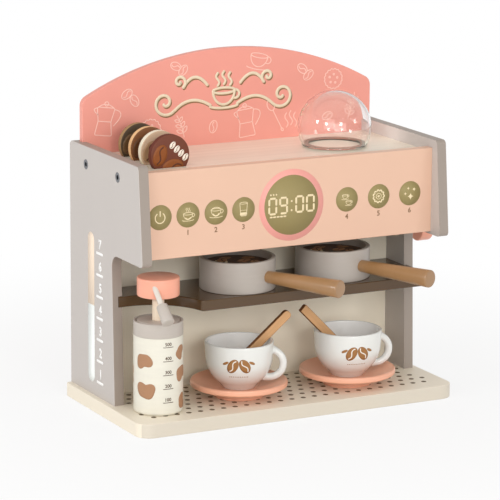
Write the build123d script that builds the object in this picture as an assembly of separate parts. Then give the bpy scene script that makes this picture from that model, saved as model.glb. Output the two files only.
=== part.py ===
from build123d import *
import os
from math import cos, hypot, radians, sin, sqrt

os.makedirs("parts", exist_ok=True)

# A play espresso machine in painted board, with its loose cups, filters, pods and pump bottle.
# Millimetres. X runs to the machine's right, Y to its back, Z up.
# The origin is the middle of the base's underside.

# ---- clearances ----
groove_gap = 0.1        # a board in its groove
glue_gap = 0.05         # a glued or pressed peg in its hole
turn_gap = 0.06         # a shaft that turns in a bore
slide_gap = 0.3         # a piece that slides or lifts out
seat_gap = 0.5          # a loose stick above the rim that it leans on
cut_past = 1.0          # how far a cut runs past the face that it opens
same_place = 0.01       # places closer than this are the same

# ---- base ----
base_width = 300.0
base_depth = 153.0
base_thick = 12.0
base_front_corner = 13.0
base_back_corner = 3.0
board_edge = 0.8        # rounding of the painted boards' edges
fine_edge = 0.4         # bevel or rounding where a board or a turned piece is crisper

# ---- side panels, measured from the base's top and from the back edge ----
side_inset = 5.0        # base edge to side panel
side_thick = 9.0
side_height = 212.0
head_depth = 136.3      # at the top edge
head_lean = 8.0         # the head's front edge runs this much forward on its way down
head_height = 82.7
column_depth = 84.1     # just under the head
column_lean = 5.0
head_corner = 4.0
notch_corner = 10.0
groove_depth = 3.5

# ---- cross boards ----
fascia_setback = 7.6    # behind the head's top front edge
fascia_drop = 7.3       # below the side panels' top
fascia_height = 73.0
fascia_thick = 9.0
top_drop = 10.8
top_thick = 9.0
header_inset = 8.5      # header's back face to the side panels' back edge
header_thick = 6.0
header_rise = 72.0      # arch above the side panels
header_arch_radius = 283.5
header_shoulder = 9.0
header_skirt = 80.0     # reach down inside the side grooves
back_inset = 48.0       # back panel's back face to the side panels' back edge
back_thick = 6.0
shelf_clear = 84.0      # base top to shelf underside
shelf_thick = 9.0
shelf_overhang = 0.3    # shelf front beyond the fascia's face
shelf_wing_step = 1.2   # shelf wing beyond the column's front edge
shelf_cut_width = 53.0  # side panel to the corner of the cut-away
shelf_cut_radius = 47.5
shelf_corner = 3.0

# ---- screws ----
screw_radius = 1.95
screw_length = 28.0
screw_head_radius = 4.2
screw_head_thick = 2.4
screw_socket = 2.2
screw_socket_depth = 1.5
screw_hole_gap = 0.15
screw_sink = 0.3        # base screws' heads above the base's underside
side_screw_from_back = (33.4, 96.7)
base_screw_from_back = (18.0, 68.0)

# ---- pods standing in the top board ----
pod_count = 4
pod_radius = 17.6
pod_thick = 6.0
pod_pitch = 19.7
pod_sink = 7.6          # depth of the round edge below the board's surface
pod_from_side = 38.8
pod_from_fascia = 25.2
pod_edge = 0.7

# ---- clear bean dome ----
dome_radius = 32.0
dome_wall = 1.6
dome_cut = 16.0         # ball centre above the board
dome_foot_thick = 2.4
dome_foot_width = 5.0   # flat foot inside the ball's cut edge
dome_foot_round = 1.8
dome_from_side = 60.4
dome_from_fascia = 54.5

# ---- filters on the shelf ----
filter_radius = 32.3
filter_wall = 3.4
filter_height = 27.0
filter_recess = 7.5
filter_puck_thick = 1.5
filter_edge = 0.8
filter_left_from_cut = 49.9
filter_right_from_side = 75.5
filter_left_back = 34.0   # centre behind the shelf's front edge
filter_right_back = 37.4
grip_height = 13.0
grip_reach = 105.5        # filter centre to the end of its grip
grip_neck_radius = 4.9
grip_end_radius = 7.6
grip_round = 1.2
grip_peg_radius = 3.0
grip_peg_depth = 8.0
grip_left_heading = -63.4
grip_right_heading = -67.8

# ---- cups and saucers ----
saucer_radius = 41.6
saucer_height = 14.0
saucer_rim_thick = 4.4
saucer_foot_radius = 21.8
saucer_foot_height = 3.6
saucer_well_radius = 16.0
saucer_well_height = 7.4
saucer_rim_land = 2.2
saucer_rim_round = 1.5
saucer_dip = 0.8          # how far the dish sags below a straight slope
cup_rim_radius = 29.5
cup_height = 40.6
cup_bowl_radius = 28.7
cup_bowl_centre = 27.9
cup_wall = 2.4
cup_floor = 4.0
cup_foot_radius = 13.5
cup_foot_blend = 5.0      # height at which the foot's slope meets the round bowl
cup_lip = 0.9
loop_top = 32.6
loop_low = 9.6
loop_reach = 40.6
loop_radius = 3.1
loop_rise = 1.0           # widest point of the loop above the middle of its two ends
saucer_left_share = 0.305   # share of the bay's spare width between the bottle and the left saucer
saucer_right_share = 0.388  # share between the right saucer and the side panel
left_cup_offset = 1.7     # from the middle of the bay, towards the back
right_cup_offset = -2.0
left_loop_heading = -27.5
right_loop_heading = -11.5

# ---- stirring sticks ----
stick_width = 7.4
stick_thick = 4.5
stick_end_radius = 3.3    # round end
stick_corner = 0.8        # square end
stick_rim_inset = 2.4     # where the stick crosses the rim, inside its outer edge
stick_foot_inset = 1.7    # the stick's foot off the bowl's inner wall
left_stick_rim_angle = -7.3
left_stick_foot_angle = 173.3
left_stick_foot_height = 9.7
left_stick_over = 23.9
right_stick_rim_angle = 161.5
right_stick_foot_angle = 43.6
right_stick_foot_height = 10.6
right_stick_over = 20.8

# ---- milk pump bottle ----
bottle_radius = 20.8
bottle_height = 66.0
bottle_foot_round = 3.0
bottle_tuck = 1.5         # bottle's side past the side panel's inner face
bottle_column_gap = 5.2
lid_height = 12.0
lid_lip = 1.6             # outside the ring groove in the lid's top
lid_groove = 1.4
lid_groove_depth = 1.2
lid_spigot_radius = 15.0
lid_spigot_height = 5.0
well_radius = 7.8         # bore for the spring
well_depth = 38.0
stem_radius = 5.0
stem_flange_radius = 7.0
stem_flange_thick = 2.2
stem_socket = 9.0         # stem's end inside the knob
press_radius = 17.8
press_height = 16.0
press_above_lid = 20.7
press_travel = 12.0
spring_radius = 5.4
spring_wire = 1.0
spring_turns = 8
spout_side_angle = 238.0  # where the peg enters the knob's side
spout_tilt = 43.0
spout_peg_radius = 2.25
spout_peg_inside = 6.0
spout_peg_show = 15.5
spout_peg_socket = 8.0
spout_neck_radius = 4.7
spout_end_radius = 5.3
spout_length = 17.2
spout_edge = 0.7

# ---- steam knob on the right side panel ----
steam_below_head = 6.2
steam_behind_column = 10.9
steam_shaft_radius = 4.0
steam_stand_off = 9.0
steam_knob_radius = 12.2
steam_knob_thick = 12.0
steam_socket = 7.0
steam_collar_radius = 6.0
steam_collar_thick = 4.0
turned_edge = 1.2

# ---- places that follow from the sizes above ----
back_y = base_depth / 2
base_front_y = -base_depth / 2
outer_x = base_width / 2 - side_inset
inner_x = outer_x - side_thick
side_top_z = base_thick + side_height
head_low_z = side_top_z - head_height
head_top_front_y = back_y - head_depth
head_low_front_y = head_top_front_y - head_lean
column_top_front_y = back_y - column_depth
column_foot_front_y = column_top_front_y - column_lean
fascia_front_y = head_top_front_y + fascia_setback
fascia_back_y = fascia_front_y + fascia_thick
fascia_top_z = side_top_z - fascia_drop
fascia_low_z = fascia_top_z - fascia_height
top_z = side_top_z - top_drop
top_low_z = top_z - top_thick
header_back_y = back_y - header_inset
header_front_y = header_back_y - header_thick
header_low_z = side_top_z - header_skirt
header_apex_z = side_top_z + header_rise
back_panel_back_y = back_y - back_inset
back_panel_front_y = back_panel_back_y - back_thick
shelf_low_z = base_thick + shelf_clear
shelf_top_z = shelf_low_z + shelf_thick
shelf_front_y = fascia_front_y - shelf_overhang
board_half = inner_x + groove_depth - groove_gap
bay_middle_y = (base_front_y + back_panel_front_y) / 2
saucer_top_z = base_thick + saucer_height
cup_foot_z = base_thick + saucer_well_height
bottle_x = -inner_x + bottle_radius - bottle_tuck
bottle_y = column_foot_front_y - bottle_column_gap - bottle_radius
lid_low_z = base_thick + bottle_height
lid_top_z = lid_low_z + lid_height
press_low_z = lid_top_z + press_above_lid
bay_spare = inner_x - (bottle_x + bottle_radius) - 4 * saucer_radius
left_cup_x = bottle_x + bottle_radius + saucer_left_share * bay_spare + saucer_radius
right_cup_x = inner_x - saucer_right_share * bay_spare - saucer_radius
left_cup_y = bay_middle_y + left_cup_offset
right_cup_y = bay_middle_y + right_cup_offset
shelf_cut_x = -inner_x + shelf_cut_width
left_filter_x = shelf_cut_x + filter_left_from_cut
right_filter_x = inner_x - filter_right_from_side
left_filter_y = shelf_front_y + filter_left_back
right_filter_y = shelf_front_y + filter_right_back
grip_z = shelf_top_z + grip_height
pod_x = -inner_x + pod_from_side
pod_first_y = fascia_back_y + pod_from_fascia
pod_centre_z = top_z - pod_sink + pod_radius
dome_x = inner_x - dome_from_side
dome_y = fascia_back_y + dome_from_fascia
steam_y = column_top_front_y + steam_behind_column
steam_z = head_low_z - steam_below_head
steam_knob_x = outer_x + steam_stand_off
side_screw_z = (top_z + top_low_z) / 2
side_screw_ys = [back_y - d for d in side_screw_from_back]
base_screw_ys = [back_y - d for d in base_screw_from_back]
base_screw_x = inner_x + side_thick / 2


def block(x0, x1, y0, y1, z0, z1):
    """A box between two corners."""
    size = Box(x1 - x0, y1 - y0, z1 - z0, align=(Align.MIN, Align.MIN, Align.MIN))
    return Pos(x0, y0, z0) * size


def rod(radius, start, end):
    """A round bar from one point to another."""
    line = Edge.make_line(start, end)
    plane = Plane(origin=start, z_dir=line % 0)
    return extrude(plane * Circle(radius), line.length)


def turned(edges):
    """A profile in radius and height, turned about the upright axis."""
    return revolve(Plane.XZ * make_face(edges), Axis.Z)


def outline(points, radii):
    """A closed outline with rounded corners."""
    return make_face(FilletPolyline(*points, radius=radii, close=True).edges())


def edges_at(shape, z):
    """The edges that lie flat at one height."""
    boxes = [(e, e.bounding_box()) for e in shape.edges()]
    return [e for e, box in boxes if abs(box.min.Z - z) < same_place and abs(box.max.Z - z) < same_place]


def column_front_y(z):
    """The column's sloping front edge at a height."""
    share = (head_low_z - z) / (head_low_z - base_thick)
    return column_top_front_y - column_lean * share


# ---- boards ----

def screw_seats(shape):
    """Cuts the base screws' countersinks and holes out of the base."""
    head_top = screw_sink + screw_head_thick
    for side in (-1, 1):
        for y in base_screw_ys:
            x = side * base_screw_x
            shape -= rod(screw_head_radius + screw_hole_gap, (x, y, -cut_past), (x, y, head_top))
            shape -= rod(screw_radius + screw_hole_gap, (x, y, -cut_past), (x, y, base_thick + cut_past))
    return shape


def make_base():
    """The tray board, with large rounded corners at the front."""
    w, d = base_width / 2, base_depth / 2
    corners = [(-w, -d), (w, -d), (w, d), (-w, d)]
    radii = [base_front_corner, base_front_corner, base_back_corner, base_back_corner]
    plate = extrude(outline(corners, radii), base_thick)
    plate = fillet(edges_at(plate, base_thick) + edges_at(plate, 0), board_edge)
    return screw_seats(plate)


def make_left_side():
    """An upright panel: a leaning column under a deeper head, grooved for the cross boards."""
    points = [
        (back_y, base_thick),
        (back_y, side_top_z),
        (head_top_front_y, side_top_z),
        (head_low_front_y, head_low_z),
        (column_top_front_y, head_low_z),
        (column_foot_front_y, base_thick),
    ]
    radii = [0, head_corner, head_corner, head_corner, notch_corner, 0]
    panel = extrude(Plane.YZ.offset(-outer_x) * outline(points, radii), side_thick)
    groove_x = (-inner_x - groove_depth, -inner_x + cut_past)
    panel -= block(*groove_x, back_panel_front_y - groove_gap, back_panel_back_y + groove_gap,
                   base_thick - cut_past, top_low_z + groove_gap)
    panel -= block(*groove_x, header_front_y - groove_gap, header_back_y + groove_gap,
                   header_low_z - groove_gap, side_top_z + cut_past)
    panel -= block(*groove_x, fascia_front_y - groove_gap, fascia_back_y + groove_gap,
                   fascia_low_z - groove_gap, fascia_top_z + groove_gap)
    panel -= block(*groove_x, column_foot_front_y - cut_past, back_panel_front_y,
                   shelf_low_z - groove_gap, shelf_top_z + groove_gap)
    outer = panel.faces().sort_by(Axis.X)[0]
    panel = chamfer([e for e in outer.edges() if e.center().Z > base_thick + same_place], fine_edge)
    for y in side_screw_ys:
        outside = (-outer_x - cut_past, y, side_screw_z)
        panel -= rod(screw_head_radius + screw_hole_gap, outside, (-outer_x + screw_head_thick, y, side_screw_z))
        panel -= rod(screw_radius + screw_hole_gap, outside, (-inner_x + cut_past, y, side_screw_z))
    for y in base_screw_ys:
        panel -= rod(screw_radius + glue_gap, (-base_screw_x, y, base_thick - cut_past),
                     (-base_screw_x, y, screw_length + cut_past))
    return panel


def make_right_side():
    """The left panel's mirror image, with a bore for the steam knob's shaft."""
    panel = mirror(make_left_side(), Plane.YZ)
    return panel - rod(steam_shaft_radius + turn_gap, (inner_x - cut_past, steam_y, steam_z),
                       (outer_x + cut_past, steam_y, steam_z))


def make_back_panel():
    """The wall behind the cups."""
    return block(-board_half, board_half, back_panel_front_y, back_panel_back_y, base_thick, top_low_z)


def make_top_board():
    """The top of the machine, screwed between the sides and slotted for the pods."""
    board = block(-inner_x, inner_x, fascia_back_y, header_front_y, top_low_z, top_z)
    half_slot = sqrt(pod_radius ** 2 - (pod_radius - pod_sink) ** 2) + slide_gap
    for i in range(pod_count):
        y = pod_first_y + i * pod_pitch
        board -= block(pod_x - half_slot, pod_x + half_slot, y - pod_thick / 2 - slide_gap,
                       y + pod_thick / 2 + slide_gap, top_z - pod_sink - slide_gap, top_z + cut_past)
    for side in (-1, 1):
        for y in side_screw_ys:
            board -= rod(screw_radius + glue_gap, (side * (inner_x + cut_past), y, side_screw_z),
                         (side * (outer_x - screw_length - cut_past), y, side_screw_z))
    return board


def make_fascia():
    """The upright front board that carries the control panel's print."""
    board = block(-board_half, board_half, fascia_front_y, fascia_back_y, fascia_low_z, fascia_top_z)
    front = board.faces().sort_by(Axis.Y)[0]
    return chamfer(front.edges().filter_by(Axis.X), fine_edge)


def make_header():
    """The tall board at the back, arched above the sides and held in their grooves."""
    arch_drop = header_arch_radius - sqrt(header_arch_radius ** 2 - board_half ** 2)
    shoulder_z = header_apex_z - arch_drop
    edges = [
        Line((-board_half, shoulder_z), (-board_half, header_low_z)),
        Line((-board_half, header_low_z), (board_half, header_low_z)),
        Line((board_half, header_low_z), (board_half, shoulder_z)),
        ThreePointArc((board_half, shoulder_z), (0, header_apex_z), (-board_half, shoulder_z)),
    ]
    face = make_face(edges)
    shoulders = [v for v in face.vertices() if abs(v.Y - shoulder_z) < same_place]
    face = fillet(shoulders, header_shoulder)
    board = extrude(Plane.XZ.offset(-header_back_y) * face, header_thick)
    front = board.faces().sort_by(Axis.Y)[0]
    arch = [e for e in front.edges() if e.center().Z > side_top_z]
    return chamfer(arch, fine_edge)


def make_shelf():
    """The filter shelf: its ends slide in the sides' grooves, and a cut-away clears the pump bottle."""
    wing_y = column_front_y(shelf_top_z - shelf_thick / 2) - shelf_wing_step
    cut_y = wing_y - shelf_cut_radius
    cut_x = shelf_cut_x - sqrt(shelf_cut_radius ** 2 - (shelf_front_y - cut_y) ** 2)
    depth = back_panel_front_y - shelf_front_y
    face = Pos(0, shelf_front_y + depth / 2) * Rectangle(2 * board_half, depth)
    face -= Pos(cut_x, cut_y) * Circle(shelf_cut_radius)
    face -= Pos(cut_x - shelf_cut_radius, cut_y) * Rectangle(2 * shelf_cut_radius, 2 * shelf_cut_radius)
    face = fillet([v for v in face.vertices() if abs(v.Y - shelf_front_y) < same_place], shelf_corner)
    board = extrude(Plane.XY.offset(shelf_low_z) * face, shelf_thick)
    rim = [e for e in edges_at(board, shelf_top_z) + edges_at(board, shelf_low_z)
           if e.center().Y < back_panel_front_y - same_place and abs(e.center().X) < inner_x]
    return fillet(rim, board_edge)


# ---- screws ----

def make_screw(head, way):
    """A socket-head furniture screw: the middle of its head's outer face, and the way it points."""
    head, way = Vector(*head), Vector(*way)
    screw = rod(screw_head_radius, head, head + way * screw_head_thick)
    screw += rod(screw_radius, head, head + way * screw_length)
    socket = Plane(origin=head, z_dir=way) * RegularPolygon(screw_socket, 6)
    return screw - extrude(socket, screw_socket_depth)


def make_side_screws():
    """Four screws through the sides into the top board."""
    return Compound(children=[make_screw((side * outer_x, y, side_screw_z), (-side, 0, 0))
                              for side in (-1, 1) for y in side_screw_ys])


def make_base_screws():
    """Four screws up through the base into the sides."""
    return Compound(children=[make_screw((side * base_screw_x, y, screw_sink), (0, 0, 1))
                              for side in (-1, 1) for y in base_screw_ys])


# ---- pods and dome ----

def make_pod(index):
    """A round coffee pod standing in its slot."""
    y = pod_first_y + index * pod_pitch
    front, back = y - pod_thick / 2, y + pod_thick / 2
    pod = rod(pod_radius, (pod_x, front, pod_centre_z), (pod_x, back, pod_centre_z))
    return fillet(pod.edges().filter_by(GeomType.CIRCLE), pod_edge)


def make_dome():
    """A clear hollow ball, cut flat and footed where it stands on the top board."""
    span = 3 * dome_radius
    below = Box(span, span, span, align=(Align.CENTER, Align.CENTER, Align.MAX))
    outer = Sphere(dome_radius) - Pos(0, 0, -dome_cut) * below
    outer = fillet(edges_at(outer, -dome_cut), dome_foot_round)
    inner = Sphere(dome_radius - dome_wall) - Pos(0, 0, dome_foot_thick - dome_cut) * below
    cut_radius = sqrt(dome_radius ** 2 - dome_cut ** 2)
    opening = rod(cut_radius - dome_foot_width, (0, 0, -dome_radius), (0, 0, 0))
    return Pos(dome_x, dome_y, top_z + dome_cut) * (outer - inner - opening)


# ---- filters ----

def grip_points(x, y, heading, reach):
    """A point on a filter grip's axis, at a distance from the filter's centre."""
    return (x + reach * cos(radians(heading)), y + reach * sin(radians(heading)), grip_z)


def make_filter(x, y, heading):
    """A turned filter block with a shallow recess and a socket for its grip's peg."""
    top = shelf_top_z + filter_height
    body = rod(filter_radius, (x, y, shelf_top_z), (x, y, top))
    body -= rod(filter_radius - filter_wall, (x, y, top - filter_recess), (x, y, top + cut_past))
    body = fillet(edges_at(body, top) + edges_at(body, shelf_top_z), filter_edge)
    peg_start = grip_points(x, y, heading, filter_radius - grip_peg_depth)
    peg_end = grip_points(x, y, heading, filter_radius + cut_past)
    return body - rod(grip_peg_radius + glue_gap, peg_start, peg_end)


def make_grip(x, y, heading):
    """A tapered wooden grip, hollowed to fit the filter's wall, with a round peg."""
    start = filter_radius - grip_peg_depth
    length = grip_reach - start
    profile = [(0, 0), (0, length), (grip_end_radius, length), (grip_neck_radius, 0)]
    cone = revolve(Plane.XZ * outline(profile, [0, 0, grip_round, 0]), Axis.Z)
    way = (cos(radians(heading)), sin(radians(heading)), 0)
    aim = Plane(origin=grip_points(x, y, heading, start), z_dir=way)
    wall = rod(filter_radius + glue_gap, (x, y, 0), (x, y, side_top_z))
    peg = rod(grip_peg_radius, grip_points(x, y, heading, start + glue_gap),
              grip_points(x, y, heading, filter_radius + cut_past))
    return aim * cone - wall + peg


def make_puck(x, y):
    """The printed coffee disc that lies in the filter."""
    low = shelf_top_z + filter_height - filter_recess
    return rod(filter_radius - filter_wall - slide_gap, (x, y, low), (x, y, low + filter_puck_thick))


# ---- cups ----

def bowl_radius_at(height, radius):
    """The radius of the cup's round bowl at a height above its foot."""
    return sqrt(radius ** 2 - (cup_bowl_centre - height) ** 2)


def make_saucer(x, y):
    """A thick turned dish on a round foot."""
    rim_low = saucer_height - saucer_rim_thick
    land = saucer_radius - saucer_rim_land
    under = ((saucer_foot_radius + saucer_radius) / 2, (saucer_foot_height + rim_low) / 2 - saucer_dip)
    over = ((saucer_well_radius + land) / 2, (saucer_well_height + saucer_height) / 2 - saucer_dip)
    edges = [
        Line((0, 0), (saucer_foot_radius, 0)),
        Line((saucer_foot_radius, 0), (saucer_foot_radius, saucer_foot_height)),
        ThreePointArc((saucer_foot_radius, saucer_foot_height), under, (saucer_radius, rim_low)),
        Line((saucer_radius, rim_low), (saucer_radius, saucer_height)),
        Line((saucer_radius, saucer_height), (land, saucer_height)),
        ThreePointArc((land, saucer_height), over, (saucer_well_radius, saucer_well_height)),
        Line((saucer_well_radius, saucer_well_height), (0, saucer_well_height)),
        Line((0, saucer_well_height), (0, 0)),
    ]
    dish = turned(edges)
    circles = dish.edges().filter_by(GeomType.CIRCLE)
    rim = [e for e in circles if abs(e.radius - saucer_radius) < same_place]
    return Pos(x, y, base_thick) * fillet(rim, saucer_rim_round)


def cup_profile(radius, bottom, bottom_radius, blend, rim_radius):
    """A half section of the cup's round bowl and slightly flared wall, flat at the bottom."""
    low = (bowl_radius_at(blend, radius), blend)
    middle_z = (blend + cup_bowl_centre) / 2
    edges = [
        Line((0, bottom), (bottom_radius, bottom)),
        ThreePointArc(low, (bowl_radius_at(middle_z, radius), middle_z), (radius, cup_bowl_centre)),
        Line((radius, cup_bowl_centre), (rim_radius, cup_height)),
        Line((rim_radius, cup_height), (0, cup_height)),
        Line((0, cup_height), (0, bottom)),
    ]
    if blend > bottom:
        edges.insert(1, Line((bottom_radius, bottom), low))
    return edges


def make_cup(x, y, heading):
    """A round-bottomed cup with a looped handle."""
    inner_bowl = cup_bowl_radius - cup_wall
    inner_rim = cup_rim_radius - cup_wall
    inner_foot = bowl_radius_at(cup_floor, inner_bowl)
    outer = turned(cup_profile(cup_bowl_radius, 0, cup_foot_radius, cup_foot_blend, cup_rim_radius))
    inner = turned(cup_profile(inner_bowl, cup_floor, inner_foot, cup_floor, inner_rim))
    inner += rod(inner_rim, (0, 0, cup_height), (0, 0, 2 * cup_height))
    wall_middle = cup_wall / 2
    path = ThreePointArc(
        (cup_bowl_radius - wall_middle, 0, loop_top),
        (loop_reach - loop_radius, 0, (loop_top + loop_low) / 2 + loop_rise),
        (bowl_radius_at(loop_low, cup_bowl_radius) - wall_middle, 0, loop_low))
    section = Plane(origin=path @ 0, z_dir=path % 0) * Circle(loop_radius)
    cup = outer + sweep(section, path) - inner
    rim = [e for e in edges_at(cup, cup_height) if e.geom_type == GeomType.CIRCLE]
    cup = fillet(rim, cup_lip)
    return Pos(x, y, cup_foot_z) * Rot(0, 0, heading) * cup


def stick_ends(x, y, rim_angle, foot_angle, foot_height, over):
    """The lower and upper end of a stick that leans from the bowl over the rim."""
    upright = stick_width / 2
    foot_wall = bowl_radius_at(foot_height - upright, cup_bowl_radius - cup_wall) - stick_foot_inset
    foot = Vector(x + foot_wall * cos(radians(foot_angle)), y + foot_wall * sin(radians(foot_angle)),
                  cup_foot_z + foot_height)
    rim = cup_rim_radius - stick_rim_inset
    rest = Vector(x + rim * cos(radians(rim_angle)), y + rim * sin(radians(rim_angle)),
                  cup_foot_z + cup_height)
    rise = rest - foot
    run = hypot(rise.X, rise.Y)
    skew = abs(rise.X * sin(radians(rim_angle)) - rise.Y * cos(radians(rim_angle))) / run
    lift = (upright * rise.length + skew * stick_thick / 2 * rise.Z) / run
    rest += Vector(0, 0, lift + seat_gap)
    return foot, rest + (rest - foot).normalized() * over


def make_stick(foot, tip, foot_round, tip_round):
    """A flat stick standing on its edge, with its own rounding at each end."""
    way = (tip - foot).normalized()
    across = way.cross(Vector(0, 0, 1)).normalized()
    length = (tip - foot).length
    plane = Plane(origin=foot, x_dir=way, z_dir=across)
    half = stick_width / 2
    corners = [(0, -half), (length, -half), (length, half), (0, half)]
    face = outline(corners, [foot_round, tip_round, tip_round, foot_round])
    return extrude(plane * face, stick_thick / 2, both=True)


# ---- pump bottle ----

def at_bottle(z):
    """A point on the bottle's axis."""
    return (bottle_x, bottle_y, z)


def make_bottle():
    """The bottle's turned body, bored for the pump."""
    body = rod(bottle_radius, at_bottle(base_thick), at_bottle(lid_low_z))
    body = fillet(edges_at(body, base_thick), bottle_foot_round)
    body = fillet(edges_at(body, lid_low_z), fine_edge)
    body -= rod(lid_spigot_radius + glue_gap, at_bottle(lid_low_z - lid_spigot_height - groove_gap),
                at_bottle(lid_top_z))
    return body - rod(well_radius, at_bottle(lid_low_z - lid_spigot_height - well_depth),
                      at_bottle(lid_top_z))


def make_lid():
    """The lid, with a ring groove in its top, a spigot below and a hole for the stem."""
    lid = rod(bottle_radius, at_bottle(lid_low_z), at_bottle(lid_top_z))
    lid = fillet(edges_at(lid, lid_top_z) + edges_at(lid, lid_low_z), fine_edge)
    groove = rod(bottle_radius - lid_lip, at_bottle(lid_top_z - lid_groove_depth),
                 at_bottle(lid_top_z + cut_past))
    groove -= rod(bottle_radius - lid_lip - lid_groove, at_bottle(lid_low_z),
                  at_bottle(lid_top_z + cut_past))
    spigot_low = at_bottle(lid_low_z - lid_spigot_height)
    lid += rod(lid_spigot_radius, spigot_low, at_bottle(lid_low_z + cut_past))
    return lid - groove - rod(stem_radius + slide_gap, at_bottle(base_thick),
                              at_bottle(lid_top_z + cut_past))


def make_stem():
    """The pump's stem, with a flange under the lid that stops it."""
    flange_top = lid_low_z - lid_spigot_height - slide_gap
    flange_low = flange_top - stem_flange_thick
    stem = rod(stem_radius, at_bottle(flange_low), at_bottle(press_low_z + stem_socket))
    return stem + rod(stem_flange_radius, at_bottle(flange_low), at_bottle(flange_top))


def make_spring():
    """The coil spring under the stem's flange."""
    low = lid_low_z - lid_spigot_height - well_depth + spring_wire / 2
    high = lid_low_z - lid_spigot_height - slide_gap - stem_flange_thick - spring_wire / 2
    pitch = (high - low - 2 * groove_gap) / spring_turns
    coil = Helix(pitch=pitch, height=pitch * spring_turns, radius=spring_radius)
    section = Plane(origin=coil @ 0, z_dir=coil % 0) * Circle(spring_wire / 2)
    return Pos(*at_bottle(low + groove_gap)) * sweep(section, coil, is_frenet=True)


def spout_point(reach):
    """A point on the spout's axis, at a distance from the knob's side."""
    angle = radians(spout_side_angle)
    return (bottle_x + press_radius * cos(angle),
            bottle_y + press_radius * sin(angle) - reach * cos(radians(spout_tilt)),
            press_low_z + press_height / 2 - reach * sin(radians(spout_tilt)))


def make_press():
    """The round knob that the hand presses."""
    knob = rod(press_radius, at_bottle(press_low_z), at_bottle(press_low_z + press_height))
    knob = fillet(knob.edges().filter_by(GeomType.CIRCLE), turned_edge)
    knob -= rod(stem_radius + glue_gap, at_bottle(press_low_z - cut_past),
                at_bottle(press_low_z + stem_socket + groove_gap))
    return knob - rod(spout_peg_radius + glue_gap, spout_point(-spout_peg_inside - groove_gap),
                      spout_point(spout_peg_show))


def make_spout_peg():
    """The thin peg between the knob and the spout."""
    end = spout_peg_show + spout_peg_socket - groove_gap
    return rod(spout_peg_radius, spout_point(-spout_peg_inside), spout_point(end))


def make_spout():
    """The thick tapered end of the spout, bored for its peg."""
    profile = [(0, 0), (spout_neck_radius, 0), (spout_end_radius, spout_length), (0, spout_length)]
    cone = revolve(Plane.XZ * outline(profile, [0, spout_edge, spout_edge, 0]), Axis.Z)
    way = Vector(*spout_point(1)) - Vector(*spout_point(0))
    spout = Plane(origin=spout_point(spout_peg_show), z_dir=way) * cone
    return spout - rod(spout_peg_radius + glue_gap, spout_point(spout_peg_show - cut_past),
                       spout_point(spout_peg_show + spout_peg_socket))


# ---- steam knob ----

def along_steam_axis(x):
    """A point on the steam knob's axis."""
    return (x, steam_y, steam_z)


def make_steam_shaft():
    """The dowel that turns in the right side panel."""
    start = inner_x - slide_gap - steam_collar_thick
    end = steam_knob_x + steam_socket - groove_gap
    return rod(steam_shaft_radius, along_steam_axis(start), along_steam_axis(end))


def make_steam_knob():
    """The round knob on the shaft's outer end."""
    knob_end = steam_knob_x + steam_knob_thick
    knob = rod(steam_knob_radius, along_steam_axis(steam_knob_x), along_steam_axis(knob_end))
    knob = fillet(knob.edges().filter_by(GeomType.CIRCLE), turned_edge)
    return knob - rod(steam_shaft_radius + glue_gap, along_steam_axis(steam_knob_x - cut_past),
                      along_steam_axis(steam_knob_x + steam_socket))


def make_steam_collar():
    """The ring that keeps the shaft in the panel."""
    end = inner_x - slide_gap
    ring = rod(steam_collar_radius, along_steam_axis(end - steam_collar_thick), along_steam_axis(end))
    return ring - rod(steam_shaft_radius + glue_gap, along_steam_axis(end - steam_collar_thick - cut_past),
                      along_steam_axis(end + cut_past))


# ---- the whole machine ----

left_stick = stick_ends(left_cup_x, left_cup_y, left_stick_rim_angle, left_stick_foot_angle,
                        left_stick_foot_height, left_stick_over)
right_stick = stick_ends(right_cup_x, right_cup_y, right_stick_rim_angle, right_stick_foot_angle,
                         right_stick_foot_height, right_stick_over)

pieces = {
    "base_tray": make_base(),
    "left_side_panel": make_left_side(),
    "right_side_panel": make_right_side(),
    "back_panel": make_back_panel(),
    "top_board": make_top_board(),
    "front_fascia": make_fascia(),
    "header_board": make_header(),
    "filter_shelf": make_shelf(),
    "side_screws": make_side_screws(),
    "base_screws": make_base_screws(),
    "bean_dome": make_dome(),
    "left_filter_cup": make_filter(left_filter_x, left_filter_y, grip_left_heading),
    "left_filter_grip": make_grip(left_filter_x, left_filter_y, grip_left_heading),
    "left_coffee_puck": make_puck(left_filter_x, left_filter_y),
    "right_filter_cup": make_filter(right_filter_x, right_filter_y, grip_right_heading),
    "right_filter_grip": make_grip(right_filter_x, right_filter_y, grip_right_heading),
    "right_coffee_puck": make_puck(right_filter_x, right_filter_y),
    "left_saucer": make_saucer(left_cup_x, left_cup_y),
    "right_saucer": make_saucer(right_cup_x, right_cup_y),
    "left_cup": make_cup(left_cup_x, left_cup_y, left_loop_heading),
    "right_cup": make_cup(right_cup_x, right_cup_y, right_loop_heading),
    "left_stirrer": make_stick(*left_stick, stick_corner, stick_end_radius),
    "right_stirrer": make_stick(*right_stick, stick_end_radius, stick_corner),
    "bottle_body": make_bottle(),
    "bottle_lid": make_lid(),
    "pump_stem": make_stem(),
    "pump_spring": make_spring(),
    "pump_knob": make_press(),
    "spout_peg": make_spout_peg(),
    "spout_nozzle": make_spout(),
    "steam_shaft": make_steam_shaft(),
    "steam_knob": make_steam_knob(),
    "steam_collar": make_steam_collar(),
}
for pod_index in range(pod_count):
    pieces[f"coffee_pod_{pod_index + 1}"] = make_pod(pod_index)

for name, shape in pieces.items():
    export_step(shape, f"parts/{name}.step")
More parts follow.
